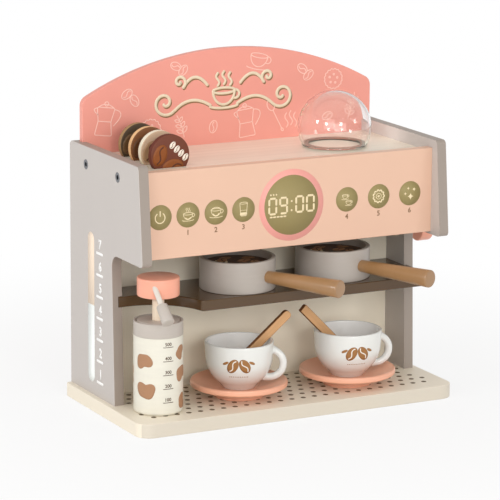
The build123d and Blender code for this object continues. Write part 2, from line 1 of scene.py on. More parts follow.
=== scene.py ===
import bmesh
import bpy
import numpy as np
from bpy.props import FloatProperty, FloatVectorProperty, PointerProperty
from mathutils import Matrix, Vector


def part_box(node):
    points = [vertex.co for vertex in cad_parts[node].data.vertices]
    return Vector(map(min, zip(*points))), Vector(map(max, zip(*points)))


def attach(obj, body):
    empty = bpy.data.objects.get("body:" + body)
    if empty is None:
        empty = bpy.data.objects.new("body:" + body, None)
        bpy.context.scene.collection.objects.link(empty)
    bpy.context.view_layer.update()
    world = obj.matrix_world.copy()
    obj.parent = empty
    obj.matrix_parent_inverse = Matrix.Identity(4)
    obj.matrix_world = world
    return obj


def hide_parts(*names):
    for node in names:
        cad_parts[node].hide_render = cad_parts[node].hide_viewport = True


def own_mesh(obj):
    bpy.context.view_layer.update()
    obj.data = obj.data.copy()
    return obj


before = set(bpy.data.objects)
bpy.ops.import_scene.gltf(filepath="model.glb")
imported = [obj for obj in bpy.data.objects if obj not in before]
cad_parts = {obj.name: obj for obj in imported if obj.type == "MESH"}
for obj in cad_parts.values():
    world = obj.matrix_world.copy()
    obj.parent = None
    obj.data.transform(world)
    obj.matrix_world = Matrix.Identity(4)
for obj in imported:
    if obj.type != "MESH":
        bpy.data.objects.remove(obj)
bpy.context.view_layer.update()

bl_info = {
    "name": "Toy Coffee Maker",
    "version": (1, 0, 0),
    "blender": (4, 5, 0),
    "location": "View3D > Sidebar > Coffee Maker",
    "description": "Paint, prints and loose play pieces for a toy coffee maker in painted board",
    "category": "Object",
}

# Shapes are worked out in millimetres, in the frame's own axes, and turned to metres as a mesh is made.


def span(node):
    """Lowest and highest corner of a node, in millimetres."""
    low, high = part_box(node)
    return np.array(low) * 1000, np.array(high) * 1000


def middle(node):
    """The middle of a node's box, in millimetres."""
    return sum(span(node)) / 2


# ---------------------------------------------------------------- sizes in millimetres

SAME_POINT = 2e-6        # metres within which points are one
SHARP_ANGLE = np.radians(38)

PRINT_LIFT = 0.06        # top of an ink layer above its board
PRINT_HAIR = 0.01        # between shapes that follow each other in a layer
PRINT_HAIRS = 5          # steps of a hair, after which the height starts again
ROUND_END_STEPS = 5      # points on each end of a stroke

CUP_WALL = 2.4
CUP_FLOOR = 4.0
CUP_FOOT = 13.5
CUP_FOOT_BLEND = 5.0     # height at which the foot's slope meets the round bowl
CUP_FOOT_ROUND = 0.7
CUP_BOWL = 28.7          # radius of the round bowl
CUP_BOWL_HEIGHT = 27.9   # its centre above the foot
CUP_RIM = 29.5
CUP_SIDE_HEIGHT = 39.4   # up to which its marks may be laid
CUP_COLUMNS = 128
CUP_LOOP = 3.1           # radius of the handle's bar
CUP_LOOP_TOP = 32.6      # heights of its ends, and the point that it bows out to
CUP_LOOP_LOW = 9.6
CUP_LOOP_LOW_ANGLE = -39.6
CUP_LOOP_REACH = (37.5, 22.1)
CUP_FLARE = 0.32         # how much thicker its ends are, and over which share of it
CUP_FLARE_LENGTH = 0.07
CUP_MARK_HEIGHT = 25.1
CUP_HEADING = {"left": -27.5, "right": -11.5}

SAUCER_FOOT = 21.8
SAUCER_FOOT_HEIGHT = 3.6
SAUCER_WELL = 16.0
SAUCER_WELL_HEIGHT = 7.4
SAUCER_RIM = 4.4
SAUCER_LAND = 2.2
SAUCER_DIP = 0.8

FILTER_WALL = 3.4
FILTER_RECESS = 7.5
FILTER_EDGE = 0.8
GRIP_HEIGHT = 13.0
GRIP_REACH = 105.5
GRIP_NECK = 4.9
GRIP_END = 7.6
GRIP_ROUND = 1.2
GRIP_PEG_DEPTH = 8.0     # how far the grip's cone starts inside the filter
GRIP_HEADING = {"left": -63.4, "right": -67.8}

STICK_WIDTH = 7.4
STICK_THICK = 4.5
STICK_LEAN = {  # rim angle, foot angle, foot height, length past the rim
    "left": (-7.3, 173.3, 9.7, 23.9),
    "right": (161.5, 43.6, 10.6, 20.8),
}
STICK_ENDS = {"left": (0.8, 3.3), "right": (3.3, 0.8)}  # rounding at the foot and at the tip
STICK_EDGE = 0.25
STICK_RIM_INSET = 2.4
STICK_FOOT_INSET = 1.7
STICK_SEAT = 0.5

LID_LIP = 1.6
LID_GROOVE = 1.4
LID_GROOVE_DEPTH = 1.2
LID_SPIGOT = 15.0
LID_SPIGOT_HEIGHT = 5.0
LID_SIDE_GAP = 0.05      # round the spigot, and below it
LID_SEAT_GAP = 0.1
BOTTLE_FOOT_ROUND = 3.0
BOTTLE_WELL = 7.8
BOTTLE_WELL_DEPTH = 38.0
STEM_RADIUS = 5.0
STEM_FLANGE = 7.0
STEM_FLANGE_THICK = 2.2
STEM_HOLE_GAP = 0.3
STEM_LIFT = 0.1          # keeps its foot clear of the spring
SPRING_WIRE = 0.5        # radius of the wire
SPRING_TURNS = 8
SPOUT_TILT = 43.0
MARK_HEADING = -117.5    # side of the bottle on which its scale is printed
PEG_RADIUS = 2.25
PEG_LENGTH = 29.4
NOZZLE_START = 6.8       # from the peg's middle
NOZZLE_NECK = 4.7
NOZZLE_END = 5.3
NOZZLE_LENGTH = 17.2
NOZZLE_EDGE = 0.7

DOME_WALL = 1.6
DOME_FOOT_THICK = 2.4
DOME_FOOT_WIDTH = 5.0    # flat foot inside the ball's cut edge
DOME_FOOT_ROUND = 1.62
DOME_COLUMNS = 144

COLLAR_HOLE = 4.05       # radius of the steam knob's collar inside


# ---------------------------------------------------------------- colours

def linear(code, alpha=None):
    """An sRGB hex code as linear colour: c/12.92 below 0.04045, else ((c + 0.055)/1.055) to the power 2.4."""
    value = np.array([int(code[i:i + 2], 16) for i in (1, 3, 5)]) / 255
    rgb = np.where(value <= 0.04045, value / 12.92, ((value + 0.055) / 1.055) ** 2.4)
    return tuple(rgb) if alpha is None else (*rgb, alpha)


# ---------------------------------------------------------------- property groups

def colour_property(name, description, code):
    """A colour that a user may change."""
    return FloatVectorProperty(name=name, description=description, subtype="COLOR", size=3, min=0, max=1,
                               default=linear(code))


class BoardPaints(bpy.types.PropertyGroup):
    """Colours of the painted boards."""
    grey: colour_property("Grey", "Paint of the two side panels", "#C1BAB5")
    # Painted shade: the side panels' edges take this darker grey for the lesser light on them, not a paint of
    # their own.
    shaded: colour_property("Sawn edge", "Paint on the side panels' sawn edges", "#9B8F85")
    cream: colour_property("Cream", "Paint of the base and top boards", "#EFE5D2")
    # Painted shade: the base's front and back edges take this darker cream for the lesser light on them, not
    # a paint of their own.
    rim: colour_property("Rim", "Paint on the base's front and back edges", "#D6CDBD")
    # Painted light: the back panel takes a brighter cream than the base and top, to lift the shaded inside of
    # the machine.
    painted_light_cream: colour_property("Ivory", "Paint of the back panel", "#FBF2DE")
    coral: colour_property("Coral", "Paint of the arched header", "#EA9A8B")
    peach: colour_property("Peach", "Paint of the front fascia", "#E1B9A0")
    brown: colour_property("Brown", "Paint of the filter shelf", "#523B21")


class LoosePaints(bpy.types.PropertyGroup):
    """Colours of the loose pieces."""
    stone: colour_property("Stone", "Paint of the lid and nozzle", "#BDB4AB")
    clay: colour_property("Clay", "Paint of the filters", "#AEA59C")
    chalk: colour_property("Chalk", "Paint of the spout's peg", "#DDD6CC")
    tan: colour_property("Tan", "Paint of the filter grips", "#9C754B")
    blush: colour_property("Blush", "Paint of the saucers", "#F2B192")
    salmon: colour_property("Salmon", "Paint of the pump knob and the steam knob", "#F2A88E")
    milk: colour_property("Milk", "Paint of the bottle", "#E3DFD1")
    # The cups' outside white is greyed in part as painted shade; their inside takes a brighter white as
    # painted light.
    white: colour_property("White", "Moulded cups", "#E4E5E1")
    inside_light: colour_property("Glaze", "Inside of the moulded cups", "#FBFAF7")
    dowel: colour_property("Dowel", "Bare dowels", "#F2E2CB")
    beech: colour_property("Beech", "Bare stirrers", "#D8A878")
    burnt: colour_property("Burnt edge", "Laser-cut edges of the stirrers", "#8A5A32")


def number_property(name, description, value):
    """A power, strength or number that a user may change."""
    return FloatProperty(name=name, description=description, default=value)


def length_property(name, description, metres, least=0.001):
    """A length that a user may change."""
    return FloatProperty(name=name, description=description, default=metres, min=least, unit="LENGTH")


def angle_property(name, description, degrees):
    """An angle that a user may change."""
    return FloatProperty(name=name, description=description, default=np.radians(degrees), subtype="ANGLE")


class PrintSizes(bpy.types.PropertyGroup):
    """Sizes of the printed patterns."""
    dot: length_property("Tray dot", "Diameter of a printed tray dot", 0.0045)
    pitch: length_property("Dot pitch", "Distance between dots along a row", 0.0108, 0.002)
    row: length_property("Row pitch", "Distance between rows of dots", 0.012, 0.002)
    dial: length_property("Dial", "Diameter of a printed dial", 0.021, 0.005)
    clock: length_property("Clock", "Diameter of the clock's face", 0.051, 0.01)
    ring: length_property("Clock ring", "Outer diameter of the clock's ring", 0.061, 0.01)


class StageSettings(bpy.types.PropertyGroup):
    """Camera and lamps."""
    azimuth: angle_property("Azimuth", "Camera's turn about the machine", -27.46)
    elevation: angle_property("Elevation", "Camera's height angle", 12.59)
    roll: angle_property("Roll", "Camera's roll", 0.44)
    distance: length_property("Distance", "Camera to the point that it looks at", 2.4)
    lens: number_property("Lens", "Focal length in millimetres", 204.4)
    front: number_property("Front lamp", "Power of the low lamp before the machine", 11.2)
    window: number_property("Window lamps", "Power of each small bright lamp", 4.2)
    roof: number_property("Roof lamp", "Power of the lamp overhead", 1.4)
    brow: number_property("Left front lamp", "Power of the high lamp at the left front", 4.0)
    sky: number_property("Sky", "Strength of the even light from all round", 0.70)


# ---------------------------------------------------------------- surfaces

def unit(vector):
    """A vector at length one."""
    return np.asarray(vector, float) / np.linalg.norm(vector)


def arc(centre, radius, start, end, count=12):
    """An arc of a circle, from start to end in degrees."""
    return oval(centre, radius, radius, start, end, count)


def oval(centre, across, along, start=0, end=360, count=40):
    """centre + (across·cos a, along·sin a), with a from start to end in degrees."""
    a = np.radians(np.linspace(start, end, count))
    return np.column_stack((centre[0] + across * np.cos(a), centre[1] + along * np.sin(a)))


def bow(start, through, end, count=14):
    """A quadratic curve (1-t)²·start + 2t(1-t)·pull + t²·end, with its middle at the point it passes."""
    start, through, end = (np.asarray(p, float) for p in (start, through, end))
    pull = 2 * through - (start + end) / 2
    t = np.linspace(0, 1, count)[:, None]
    return (1 - t) ** 2 * start + 2 * t * (1 - t) * pull + t ** 2 * end


def rounded(corners, radii, steps=6, closed=False):
    """Straight runs whose corners are arcs: each starts r/tan(h) before its corner and ends as far after it,
    h being half the inside angle, about a middle r/sin(h) away along the bisector."""
    corners = np.asarray(corners, float)
    runs = []
    for i, (corner, radius) in enumerate(zip(corners, radii)):
        ends = not closed and i in (0, len(corners) - 1)
        if radius == 0 or ends:
            runs.append(corner[None])
            continue
        back = unit(corners[i - 1] - corner)
        ahead = unit(corners[(i + 1) % len(corners)] - corner)
        half = np.arccos(np.clip(back @ ahead, -1, 1)) / 2
        centre = corner + unit(back + ahead) * radius / np.sin(half)
        first = corner + back * radius / np.tan(half) - centre
        last = corner + ahead * radius / np.tan(half) - centre
        turn = np.pi - 2 * half
        t = np.linspace(0, 1, steps)[:, None]
        runs.append(centre + (np.sin((1 - t) * turn) * first + np.sin(t * turn) * last) / np.sin(turn))
    return np.vstack(runs)


def turned(profile, centre, axis=(0, 0, 1), columns=96):
    """Rings of a turned piece: centre + r·(cos a·side + sin a·across) + h·axis for each (r, h) of its
    profile."""
    axis = unit(axis)
    side = unit(np.cross(axis, (0.0, 1.0, 0.0) if abs(axis[1]) < 0.9 else (0.0, 0.0, 1.0)))
    across = np.cross(axis, side)
    a = np.linspace(0, 2 * np.pi, columns, endpoint=False)[:, None]
    around = np.cos(a) * side + np.sin(a) * across
    profile = np.asarray(profile, float)
    return centre + profile[:, 0, None, None] * around + profile[:, 1, None, None] * axis


def pipe(path, radii, columns=24):
    """Rings along a path in space: path + r·(cos a·side + sin a·across), with side in the path's plane."""
    path = np.asarray(path, float)
    along = np.gradient(path, axis=0)
    along /= np.linalg.norm(along, axis=1)[:, None]
    across = unit(np.cross(along[0], along[len(along) // 2]))
    side = np.cross(across, along)
    a = np.linspace(0, 2 * np.pi, columns, endpoint=False)[None, :, None]
    around = np.cos(a) * side[:, None] + np.sin(a) * across
    return path[:, None] + np.asarray(radii)[:, None, None] * around


def coiled(centre, radius, height, turns, wire, count=240, columns=12):
    """Rings of a round wire along centre + (radius·cos a, radius·sin a, height·t), with a = 2π·turns·t. Each
    ring is wire·(cos b·up + sin b·outward), near enough square to a coil that climbs so little."""
    t = np.linspace(0, 1, count)
    a = 2 * np.pi * turns * t
    outward = np.column_stack((np.cos(a), np.sin(a), np.zeros(count)))
    path = centre + radius * outward + np.outer(t * height, (0.0, 0.0, 1.0))
    b = np.linspace(0, 2 * np.pi, columns, endpoint=False)[None, :, None]
    return path[:, None] + wire * (np.cos(b) * np.array((0.0, 0.0, 1.0)) + np.sin(b) * outward[:, None])


def skin(rings, loop=False):
    """Points and faces over a (rows, columns, 3) grid: quads between rows and a flat cap on each open end."""
    rows, columns = rings.shape[:2]
    index = np.arange(rows * columns).reshape(rows, columns)
    ahead = np.roll(index, -1, axis=1)
    if loop:
        lower, lower_ahead = index, ahead
        upper, upper_ahead = np.roll(index, -1, axis=0), np.roll(ahead, -1, axis=0)
    else:
        lower, lower_ahead, upper, upper_ahead = index[:-1], ahead[:-1], index[1:], ahead[1:]
    faces = np.stack((lower, lower_ahead, upper_ahead, upper), axis=-1).reshape(-1, 4).tolist()
    if not loop:
        faces += [index[end][::step].tolist() for end, step in ((0, -1), (-1, 1))
                  if np.ptp(rings[end], axis=0).max() > 1e-6]
    return rings.reshape(-1, 3), faces


def joined(*parts):
    """Several (points, faces) pairs as one."""
    points, faces, start = [], [], 0
    for part_points, part_faces in parts:
        points.append(np.asarray(part_points))
        faces += [[i + start for i in face] for face in part_faces]
        start += len(part_points)
    return np.vstack(points), faces


def put(name, data, matrix=None):
    """A new object in the scene, with its place if it has one."""
    item = bpy.data.objects.new(name, data)
    bpy.context.scene.collection.objects.link(item)
    if matrix is not None:
        item.matrix_world = matrix
    return item


def piece(name, body, shape, materials, slots=None, replaces=()):
    """Makes (points, faces) in millimetres into an object that rides on a body."""
    points, faces = shape
    mesh = bpy.data.meshes.new(name)
    mesh.from_pydata((np.asarray(points) / 1000).tolist(), [], faces)
    for material in materials:
        mesh.materials.append(material)
    if slots is not None:
        mesh.polygons.foreach_set("material_index", np.asarray(slots, dtype=np.int32))
    work = bmesh.new()
    work.from_mesh(mesh)
    bmesh.ops.remove_doubles(work, verts=work.verts, dist=SAME_POINT)
    work.to_mesh(mesh)
    work.free()
    mesh.shade_smooth()
    mesh.set_sharp_from_angle(angle=SHARP_ANGLE)
    item = put(name, mesh)
    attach(item, body)
    if replaces:
        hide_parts(*replaces)
    return item


def turned_piece(name, body, node, profile, start, material, axis=(0, 0, 1), columns=96):
    """A round piece in a node's place, turned from its profile."""
    return piece(name, body, skin(turned(profile, start, axis, columns)), [material], replaces=[node])


def bar_profile(radius, length, edge, steps, end_radius=None):
    """Half section of a round bar whose edges are eased, and which may widen to its end."""
    corners = [(0, 0), (radius, 0), (end_radius or radius, length), (0, length)]
    return rounded(corners, [0, edge, edge, 0], steps)


def round_node(node):
    """An upright round node's foot, which is the middle of its lower face, its radius and its height."""
    low, high = span(node)
    return np.array((*middle(node)[:2], low[2])), (high[0] - low[0]) / 2, high[2] - low[2]


def heading_way(degrees):
    """The level direction at a heading."""
    return np.array((np.cos(np.radians(degrees)), np.sin(np.radians(degrees)), 0.0))


# ---------------------------------------------------------------- prints
# A print is drawn in millimetres on its own flat sheet, u to the right and v up, then laid on its surface.

def blob(centre, radii, rings=1, turn=0.0):
    """A filled outline: centre + s·r(a)·(cos a, sin a) for radii r at even angles a, and s from 0 to 1."""
    radii = np.asarray(radii, float)
    a = np.linspace(0, 2 * np.pi, len(radii), endpoint=False) + np.radians(turn)
    s = np.linspace(0, 1, rings + 1)[1:, None, None]
    rim = np.column_stack((np.cos(a), np.sin(a))) * radii[:, None]
    points = np.vstack(([[0.0, 0.0]], (s * rim).reshape(-1, 2))) + centre
    count = len(radii)
    index = np.arange(count * rings).reshape(rings, count) + 1
    ahead = np.roll(index, -1, axis=1)
    faces = np.column_stack((np.zeros(count, int), index[0], ahead[0])).tolist()
    faces += np.stack((index[:-1], index[1:], ahead[1:], ahead[:-1]), axis=-1).reshape(-1, 4).tolist()
    return points, faces


def dot(centre, radius, count=28, rings=1):
    """A filled circle."""
    return blob(centre, np.full(count, radius), rings)


def oval_radii(across, along, count=36):
    """Radii of an ellipse at even angles: ab/√((b·cos a)² + (a·sin a)²)."""
    a = np.linspace(0, 2 * np.pi, count, endpoint=False)
    return across * along / np.sqrt((along * np.cos(a)) ** 2 + (across * np.sin(a)) ** 2)


def star_radii(size, count=64):
    """Radii of a four-pointed star: size/(|cos a|^⅔ + |sin a|^⅔)^1.5."""
    a = np.linspace(0, 2 * np.pi, count, endpoint=False)
    return size / (np.abs(np.cos(a)) ** (2 / 3) + np.abs(np.sin(a)) ** (2 / 3)) ** 1.5


def band(path, width, closed=False):
    """A stroke: each path point ± half the width along the path's normal. Over the last half width of an open
    stroke the half width falls as the cosine of an angle whose sine is the distance, for round ends."""
    path = np.asarray(path, float)
    half = np.full(len(path), width / 2)
    if closed:
        step = np.roll(path, -1, axis=0) - np.roll(path, 1, axis=0)
    else:
        first, last = unit(path[0] - path[1]), unit(path[-1] - path[-2])
        swing = np.radians(np.linspace(90, 0, ROUND_END_STEPS))[:-1, None]
        head = path[0] + first * width / 2 * np.sin(swing)
        tail = (path[-1] + last * width / 2 * np.sin(swing))[::-1]
        ends = width / 2 * np.cos(swing[:, 0])
        path = np.vstack((head, path, tail))
        half = np.concatenate((ends, half, ends[::-1]))
        step = np.gradient(path, axis=0)
    normal = np.column_stack((-step[:, 1], step[:, 0])) / np.linalg.norm(step, axis=1)[:, None]
    left, right = path + normal * half[:, None], path - normal * half[:, None]
    count = len(path)
    index = np.arange(count)
    ahead = np.roll(index, -1)
    pairs = np.column_stack((index, index + count, ahead + count, ahead))
    return np.vstack((left, right)), (pairs if closed else pairs[:-1]).tolist()


def line(*points, steps=2):
    """A path through straight runs."""
    points = np.asarray(points, float)
    t = np.linspace(0, len(points) - 1, (len(points) - 1) * (steps - 1) + 1)
    return np.column_stack([np.interp(t, np.arange(len(points)), points[:, k]) for k in (0, 1)])


def wave(start, height, swing, turns=1.0, count=16):
    """A rising wisp: (swing·sin(2π·turns·t), height·t)."""
    t = np.linspace(0, 1, count)
    return np.column_stack((start[0] + swing * np.sin(2 * np.pi * turns * t), start[1] + height * t))


def scroll(centre, radius, start, turns, count=46):
    """A spiral: centre + radius·(1 - 0.85t)·(cos a, sin a), a growing by the turns."""
    t = np.linspace(0, 1, count)
    a = np.radians(start) + 2 * np.pi * turns * t
    reach = radius * (1 - 0.85 * t)
    return np.column_stack((centre[0] + reach * np.cos(a), centre[1] + reach * np.sin(a)))


def placed(path, at, turn=0.0, size=1.0, flip=False):
    """A path or its points turned by degrees, scaled and moved."""
    a = np.radians(turn)
    path = np.asarray(path, float) * ((-size, size) if flip else (size, size))
    return path @ np.array(((np.cos(a), np.sin(a)), (-np.sin(a), np.cos(a)))) + at


def moved(shape, at, turn=0.0, size=1.0):
    """A drawn shape turned by degrees, scaled and moved."""
    return placed(shape[0], at, turn, size), shape[1]


def figures(text, height, at=(0, 0), weight=0.0):
    """Plain figures from the built-in typeface, centred on a point, their strokes widened by the weight."""
    curve = bpy.data.curves.new("figures", "FONT")
    curve.body = text
    curve.size = 1.0
    curve.align_x = "CENTER"
    curve.resolution_u = 4
    curve.offset = weight
    item = put("figures", curve)
    mesh = bpy.data.meshes.new_from_object(item.evaluated_get(bpy.context.evaluated_depsgraph_get()))
    points = np.empty(len(mesh.vertices) * 3)
    mesh.vertices.foreach_get("co", points)
    points = points.reshape(-1, 3)[:, :2]
    faces = [list(face.vertices) for face in mesh.polygons]
    bpy.data.objects.remove(item)
    bpy.data.curves.remove(curve)
    bpy.data.meshes.remove(mesh)
    low, high = points.min(axis=0), points.max(axis=0)
    points = (points - (low + high) / 2) * height / (high[1] - low[1])
    return points + at, faces


def printed(name, body, shapes, lay, material, layer=1):
    """Lays drawn shapes on a surface as one thin coat of ink. Later layers lie on earlier ones, and shapes
    that follow each other differ by a hair in height, so that strokes can cross."""
    points, faces = joined(*shapes)
    hair = np.concatenate([np.full(len(drawn), PRINT_HAIR * (k % PRINT_HAIRS))
                           for k, (drawn, _) in enumerate(shapes)])
    lift = PRINT_LIFT * layer
    item = piece(name, body, (lay(points[:, 0], points[:, 1], lift + hair), faces), [material])
    coat = item.modifiers.new("ink", "SOLIDIFY")
    coat.thickness = (lift + PRINT_HAIR * PRINT_HAIRS) / 1000
    coat.offset = -1
    return item


def facing_front(y):
    """Lays a print on an upright surface that faces the front."""
    return lambda u, v, lift: np.column_stack((u, y - lift, v))


def facing_left(x):
    """Lays a print on an upright surface that faces the left: u runs forward."""
    return lambda u, v, lift: np.column_stack((x - lift, -u, v))


def facing_up(z):
    """Lays a print on a level surface."""
    return lambda u, v, lift: np.column_stack((u, v, z + lift))


def round_side(centre, radius_at, heading, size):
    """Wraps a print round an upright turned piece: u/size is the angle from the heading, v the height."""
    def lay(u, v, lift):
        a = np.radians(heading) + u / size
        reach = radius_at(v) + lift
        return np.column_stack((centre[0] + reach * np.cos(a), centre[1] + reach * np.sin(a), v))
    return lay


# ---------------------------------------------------------------- materials

def add(tree, kind, inputs=None, **settings):
    """Adds a shader node: settings are its own, inputs are values or the sockets to link."""
    node = tree.nodes.new("ShaderNode" + kind)
    for name, value in settings.items():
        setattr(node, name, value)
    for name, value in (inputs or {}).items():
        if isinstance(value, bpy.types.NodeSocket):
            tree.links.new(value, node.inputs[name])
        else:
            node.inputs[name].default_value = value
    return node


def material_with(name, **values):
    """A new material, its node tree, its shader with plain values on its own sockets, and the coordinates of
    the object that it is on."""
    material = bpy.data.materials.new(name)
    material.use_nodes = True
    tree = material.node_tree
    shader = tree.nodes["Principled BSDF"]
    for key, value in values.items():
        shader.inputs[key.replace("_", " ")].default_value = value
    return material, tree, shader, add(tree, "TexCoord").outputs["Object"]


def finish(tree, shader, pattern, tint=None, rough=None, bump=None):
    """Lays a pattern on a shader: the colour runs between two shades, the roughness between two values, and
    the surface rises with a strength over a height in metres."""
    if tint:
        mix = add(tree, "MixRGB", {"Fac": pattern, "Color1": tint[0], "Color2": tint[1]})
        tree.links.new(mix.outputs["Color"], shader.inputs["Base Color"])
    if rough:
        gloss = add(tree, "MapRange", {"Value": pattern, "To Min": rough[0], "To Max": rough[1]})
        tree.links.new(gloss.outputs["Result"], shader.inputs["Roughness"])
    if bump:
        rise = add(tree, "Bump", {"Height": pattern, "Strength": bump[0], "Distance": bump[1]})
        tree.links.new(rise.outputs["Normal"], shader.inputs["Normal"])


def shades(colour, low, high):
    """Two shades of one linear colour, as node colours."""
    return [(*(min(1.0, c * k) for c in colour), 1.0) for k in (low, high)]


def per_metre(millimetres):
    """A noise scale whose features are about that many millimetres wide, on coordinates in metres."""
    return 1000.0 / millimetres


EDGE_SHARE = 0.6         # of a normal along an axis, past which a face counts as turned that way


def sprayed_board(name, colour, sheen=0.42, streak=0.0, edge=None):
    """Polyurethane paint sprayed on fibreboard: an even satin colour with a very fine orange peel, a
    cloudiness of a few per cent from coat to coat, and, where it has a streak, faint sanding lines along the
    board. Where it has an edge colour, the faces whose normal's share along an axis passes the test take that
    darker colour: painted shade, for the lesser light that falls on those faces."""
    material, tree, shader, place = material_with(name, IOR=1.5, Coat_Weight=0.12, Coat_Roughness=0.3)
    cloud = add(tree, "TexNoise", {"Vector": place, "Scale": per_metre(55), "Detail": 3.0, "Roughness": 0.6})
    low, high = shades(colour, *((0.88, 1.09) if streak else (0.965, 1.02)))
    tint = add(tree, "MixRGB", {"Fac": cloud.outputs["Fac"], "Color1": low, "Color2": high})
    if edge:
        axis, test, shade_colour = edge
        across = add(tree, "SeparateXYZ", {"Vector": add(tree, "NewGeometry").outputs["Normal"]})
        face = add(tree, "Math", {0: across.outputs[axis]}, operation="ABSOLUTE")
        # Mask of the faces that take the painted shade colour.
        shaded = add(tree, "Math", {0: face.outputs["Value"], 1: EDGE_SHARE}, operation=test)
        tint = add(tree, "MixRGB", {"Fac": shaded.outputs["Value"], "Color1": tint.outputs["Color"],
                                    "Color2": (*shade_colour, 1.0)})
    tree.links.new(tint.outputs["Color"], shader.inputs["Base Color"])
    peel = add(tree, "TexNoise", {"Vector": place, "Scale": per_metre(1.3), "Detail": 2.0})
    height = peel.outputs["Fac"]
    if streak:
        stretch = add(tree, "Mapping", {"Vector": place, "Scale": (0.02, 1.0, 1.0)})
        lines = add(tree, "TexNoise", {"Vector": stretch.outputs["Vector"], "Scale": per_metre(7),
                                       "Detail": 2.0})
        tree.links.new(lines.outputs["Fac"], tint.inputs["Fac"])
        blend = add(tree, "Math", {0: lines.outputs["Fac"], 1: streak, 2: height}, operation="MULTIPLY_ADD")
        height = blend.outputs["Value"]
    finish(tree, shader, cloud.outputs["Fac"], rough=(sheen - 0.05, sheen + 0.05))
    finish(tree, shader, height, bump=(0.25, 0.00004))
    return material


def turned_paint(name, colour, sheen=0.38, ring=0.9, along=(0, 0, 1), lathe=0.2, coat=0.25):
    """Lacquer on turned beech: a satin colour over faint lathe rings, a little under a millimetre apart,
    which break its highlights, and grain that shows through as soft streaks."""
    material, tree, shader, place = material_with(name, IOR=1.5, Coat_Weight=coat, Coat_Roughness=0.22)
    flat = add(tree, "Mapping", {"Vector": place, "Scale": tuple(0.15 + 0.85 * abs(k) for k in along)})
    grain = add(tree, "TexNoise", {"Vector": flat.outputs["Vector"], "Scale": per_metre(3), "Detail": 4.0})
    rings = add(tree, "TexNoise", {"Vector": flat.outputs["Vector"], "Scale": per_metre(ring), "Detail": 1.0})
    finish(tree, shader, grain.outputs["Fac"], shades(colour, 0.93, 1.03), (sheen - 0.06, sheen + 0.06))
    finish(tree, shader, rings.outputs["Fac"], bump=(lathe, 0.00005))
    return material


def bare_wood(name, colour, along=(1, 0, 0), ring=2.2):
    """Sanded beech without a finish: fine pores and growth lines along the grain, and no gloss."""
    material, tree, shader, place = material_with(name, IOR=1.45, Specular_IOR_Level=0.35)
    side = unit(np.cross(along, (0.0, 0.0, 1.0) if abs(unit(along)[2]) < 0.9 else (1.0, 0.0, 0.0)))
    axes = np.column_stack((unit(along), side, unit(np.cross(along, side))))
    turn = Matrix(axes.tolist()).to_3x3().transposed().to_euler()
    lined = add(tree, "Mapping", {"Vector": place, "Rotation": tuple(turn)})
    long = add(tree, "Mapping", {"Vector": lined.outputs["Vector"], "Scale": (0.06, 1.0, 1.0)})
    growth = add(tree, "TexNoise", {"Vector": long.outputs["Vector"], "Scale": per_metre(ring), "Detail": 5.0,
                                    "Roughness": 0.65, "Distortion": 0.4})
    finish(tree, shader, growth.outputs["Fac"], shades(colour, 0.72, 1.12), (0.7, 0.55), (0.3, 0.0001))
    return material


def glossy_moulding(name, colour):
    """Injection-moulded melamine: a hard white gloss with the slight waviness of a mould."""
    material, tree, shader, place = material_with(name, IOR=1.52, Coat_Weight=0.4, Coat_Roughness=0.06,
                                                  Base_Color=(*colour, 1.0))
    sink = add(tree, "TexNoise", {"Vector": place, "Scale": per_metre(9), "Detail": 1.0})
    finish(tree, shader, sink.outputs["Fac"], rough=(0.16, 0.24), bump=(0.12, 0.0001))
    return material


def clear_moulding(name, code):
    """Blow-moulded clear polystyrene: colourless, with a soft unevenness that bends what is behind it."""
    material, tree, shader, place = material_with(name, IOR=1.45, Transmission_Weight=1.0, Roughness=0.02,
                                                  Base_Color=linear(code, 1.0))
    flow = add(tree, "TexNoise", {"Vector": place, "Scale": per_metre(14), "Detail": 1.0})
    finish(tree, shader, flow.outputs["Fac"], bump=(0.1, 0.0002))
    return material


def plated_steel(name):
    """Zinc-plated steel: a dull grey metal with the plating's fine grain."""
    material, tree, shader, place = material_with(name, Metallic=1.0, Base_Color=linear("#7E7F82", 1.0))
    grain = add(tree, "TexNoise", {"Vector": place, "Scale": per_metre(0.8), "Detail": 2.0})
    finish(tree, shader, grain.outputs["Fac"], rough=(0.28, 0.42))
    return material


def screen_ink(name, code):
    """Screen-printed ink: a flat opaque colour, a little duller than the paint, with a faint mesh mottle."""
    material, tree, shader, place = material_with(name, IOR=1.48, Specular_IOR_Level=0.4)
    mottle = add(tree, "TexNoise", {"Vector": place, "Scale": per_metre(2.5), "Detail": 2.0})
    finish(tree, shader, mottle.outputs["Fac"], shades(linear(code), 0.96, 1.03), (0.45, 0.55))
    return material


def coffee_grounds(name):
    """A printed picture of ground coffee: specks of two browns, about a millimetre across, under a matt
    varnish. The browns are darker than the print alone, in part painted shade of the filter's recess."""
    material, tree, shader, place = material_with(name, IOR=1.48)
    specks = add(tree, "TexVoronoi", {"Vector": place, "Scale": per_metre(1.4)})
    grey = add(tree, "RGBToBW", {"Color": specks.outputs["Color"]})
    finish(tree, shader, grey.outputs["Val"], (linear("#26160E", 1.0), linear("#6A4529", 1.0)), (0.5, 0.6))
    return material


# ---------------------------------------------------------------- boards and screws

def dress(material, *nodes):
    """Gives CAD nodes' slots a finished material."""
    for node in nodes:
        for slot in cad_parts[node].material_slots:
            slot.material = material


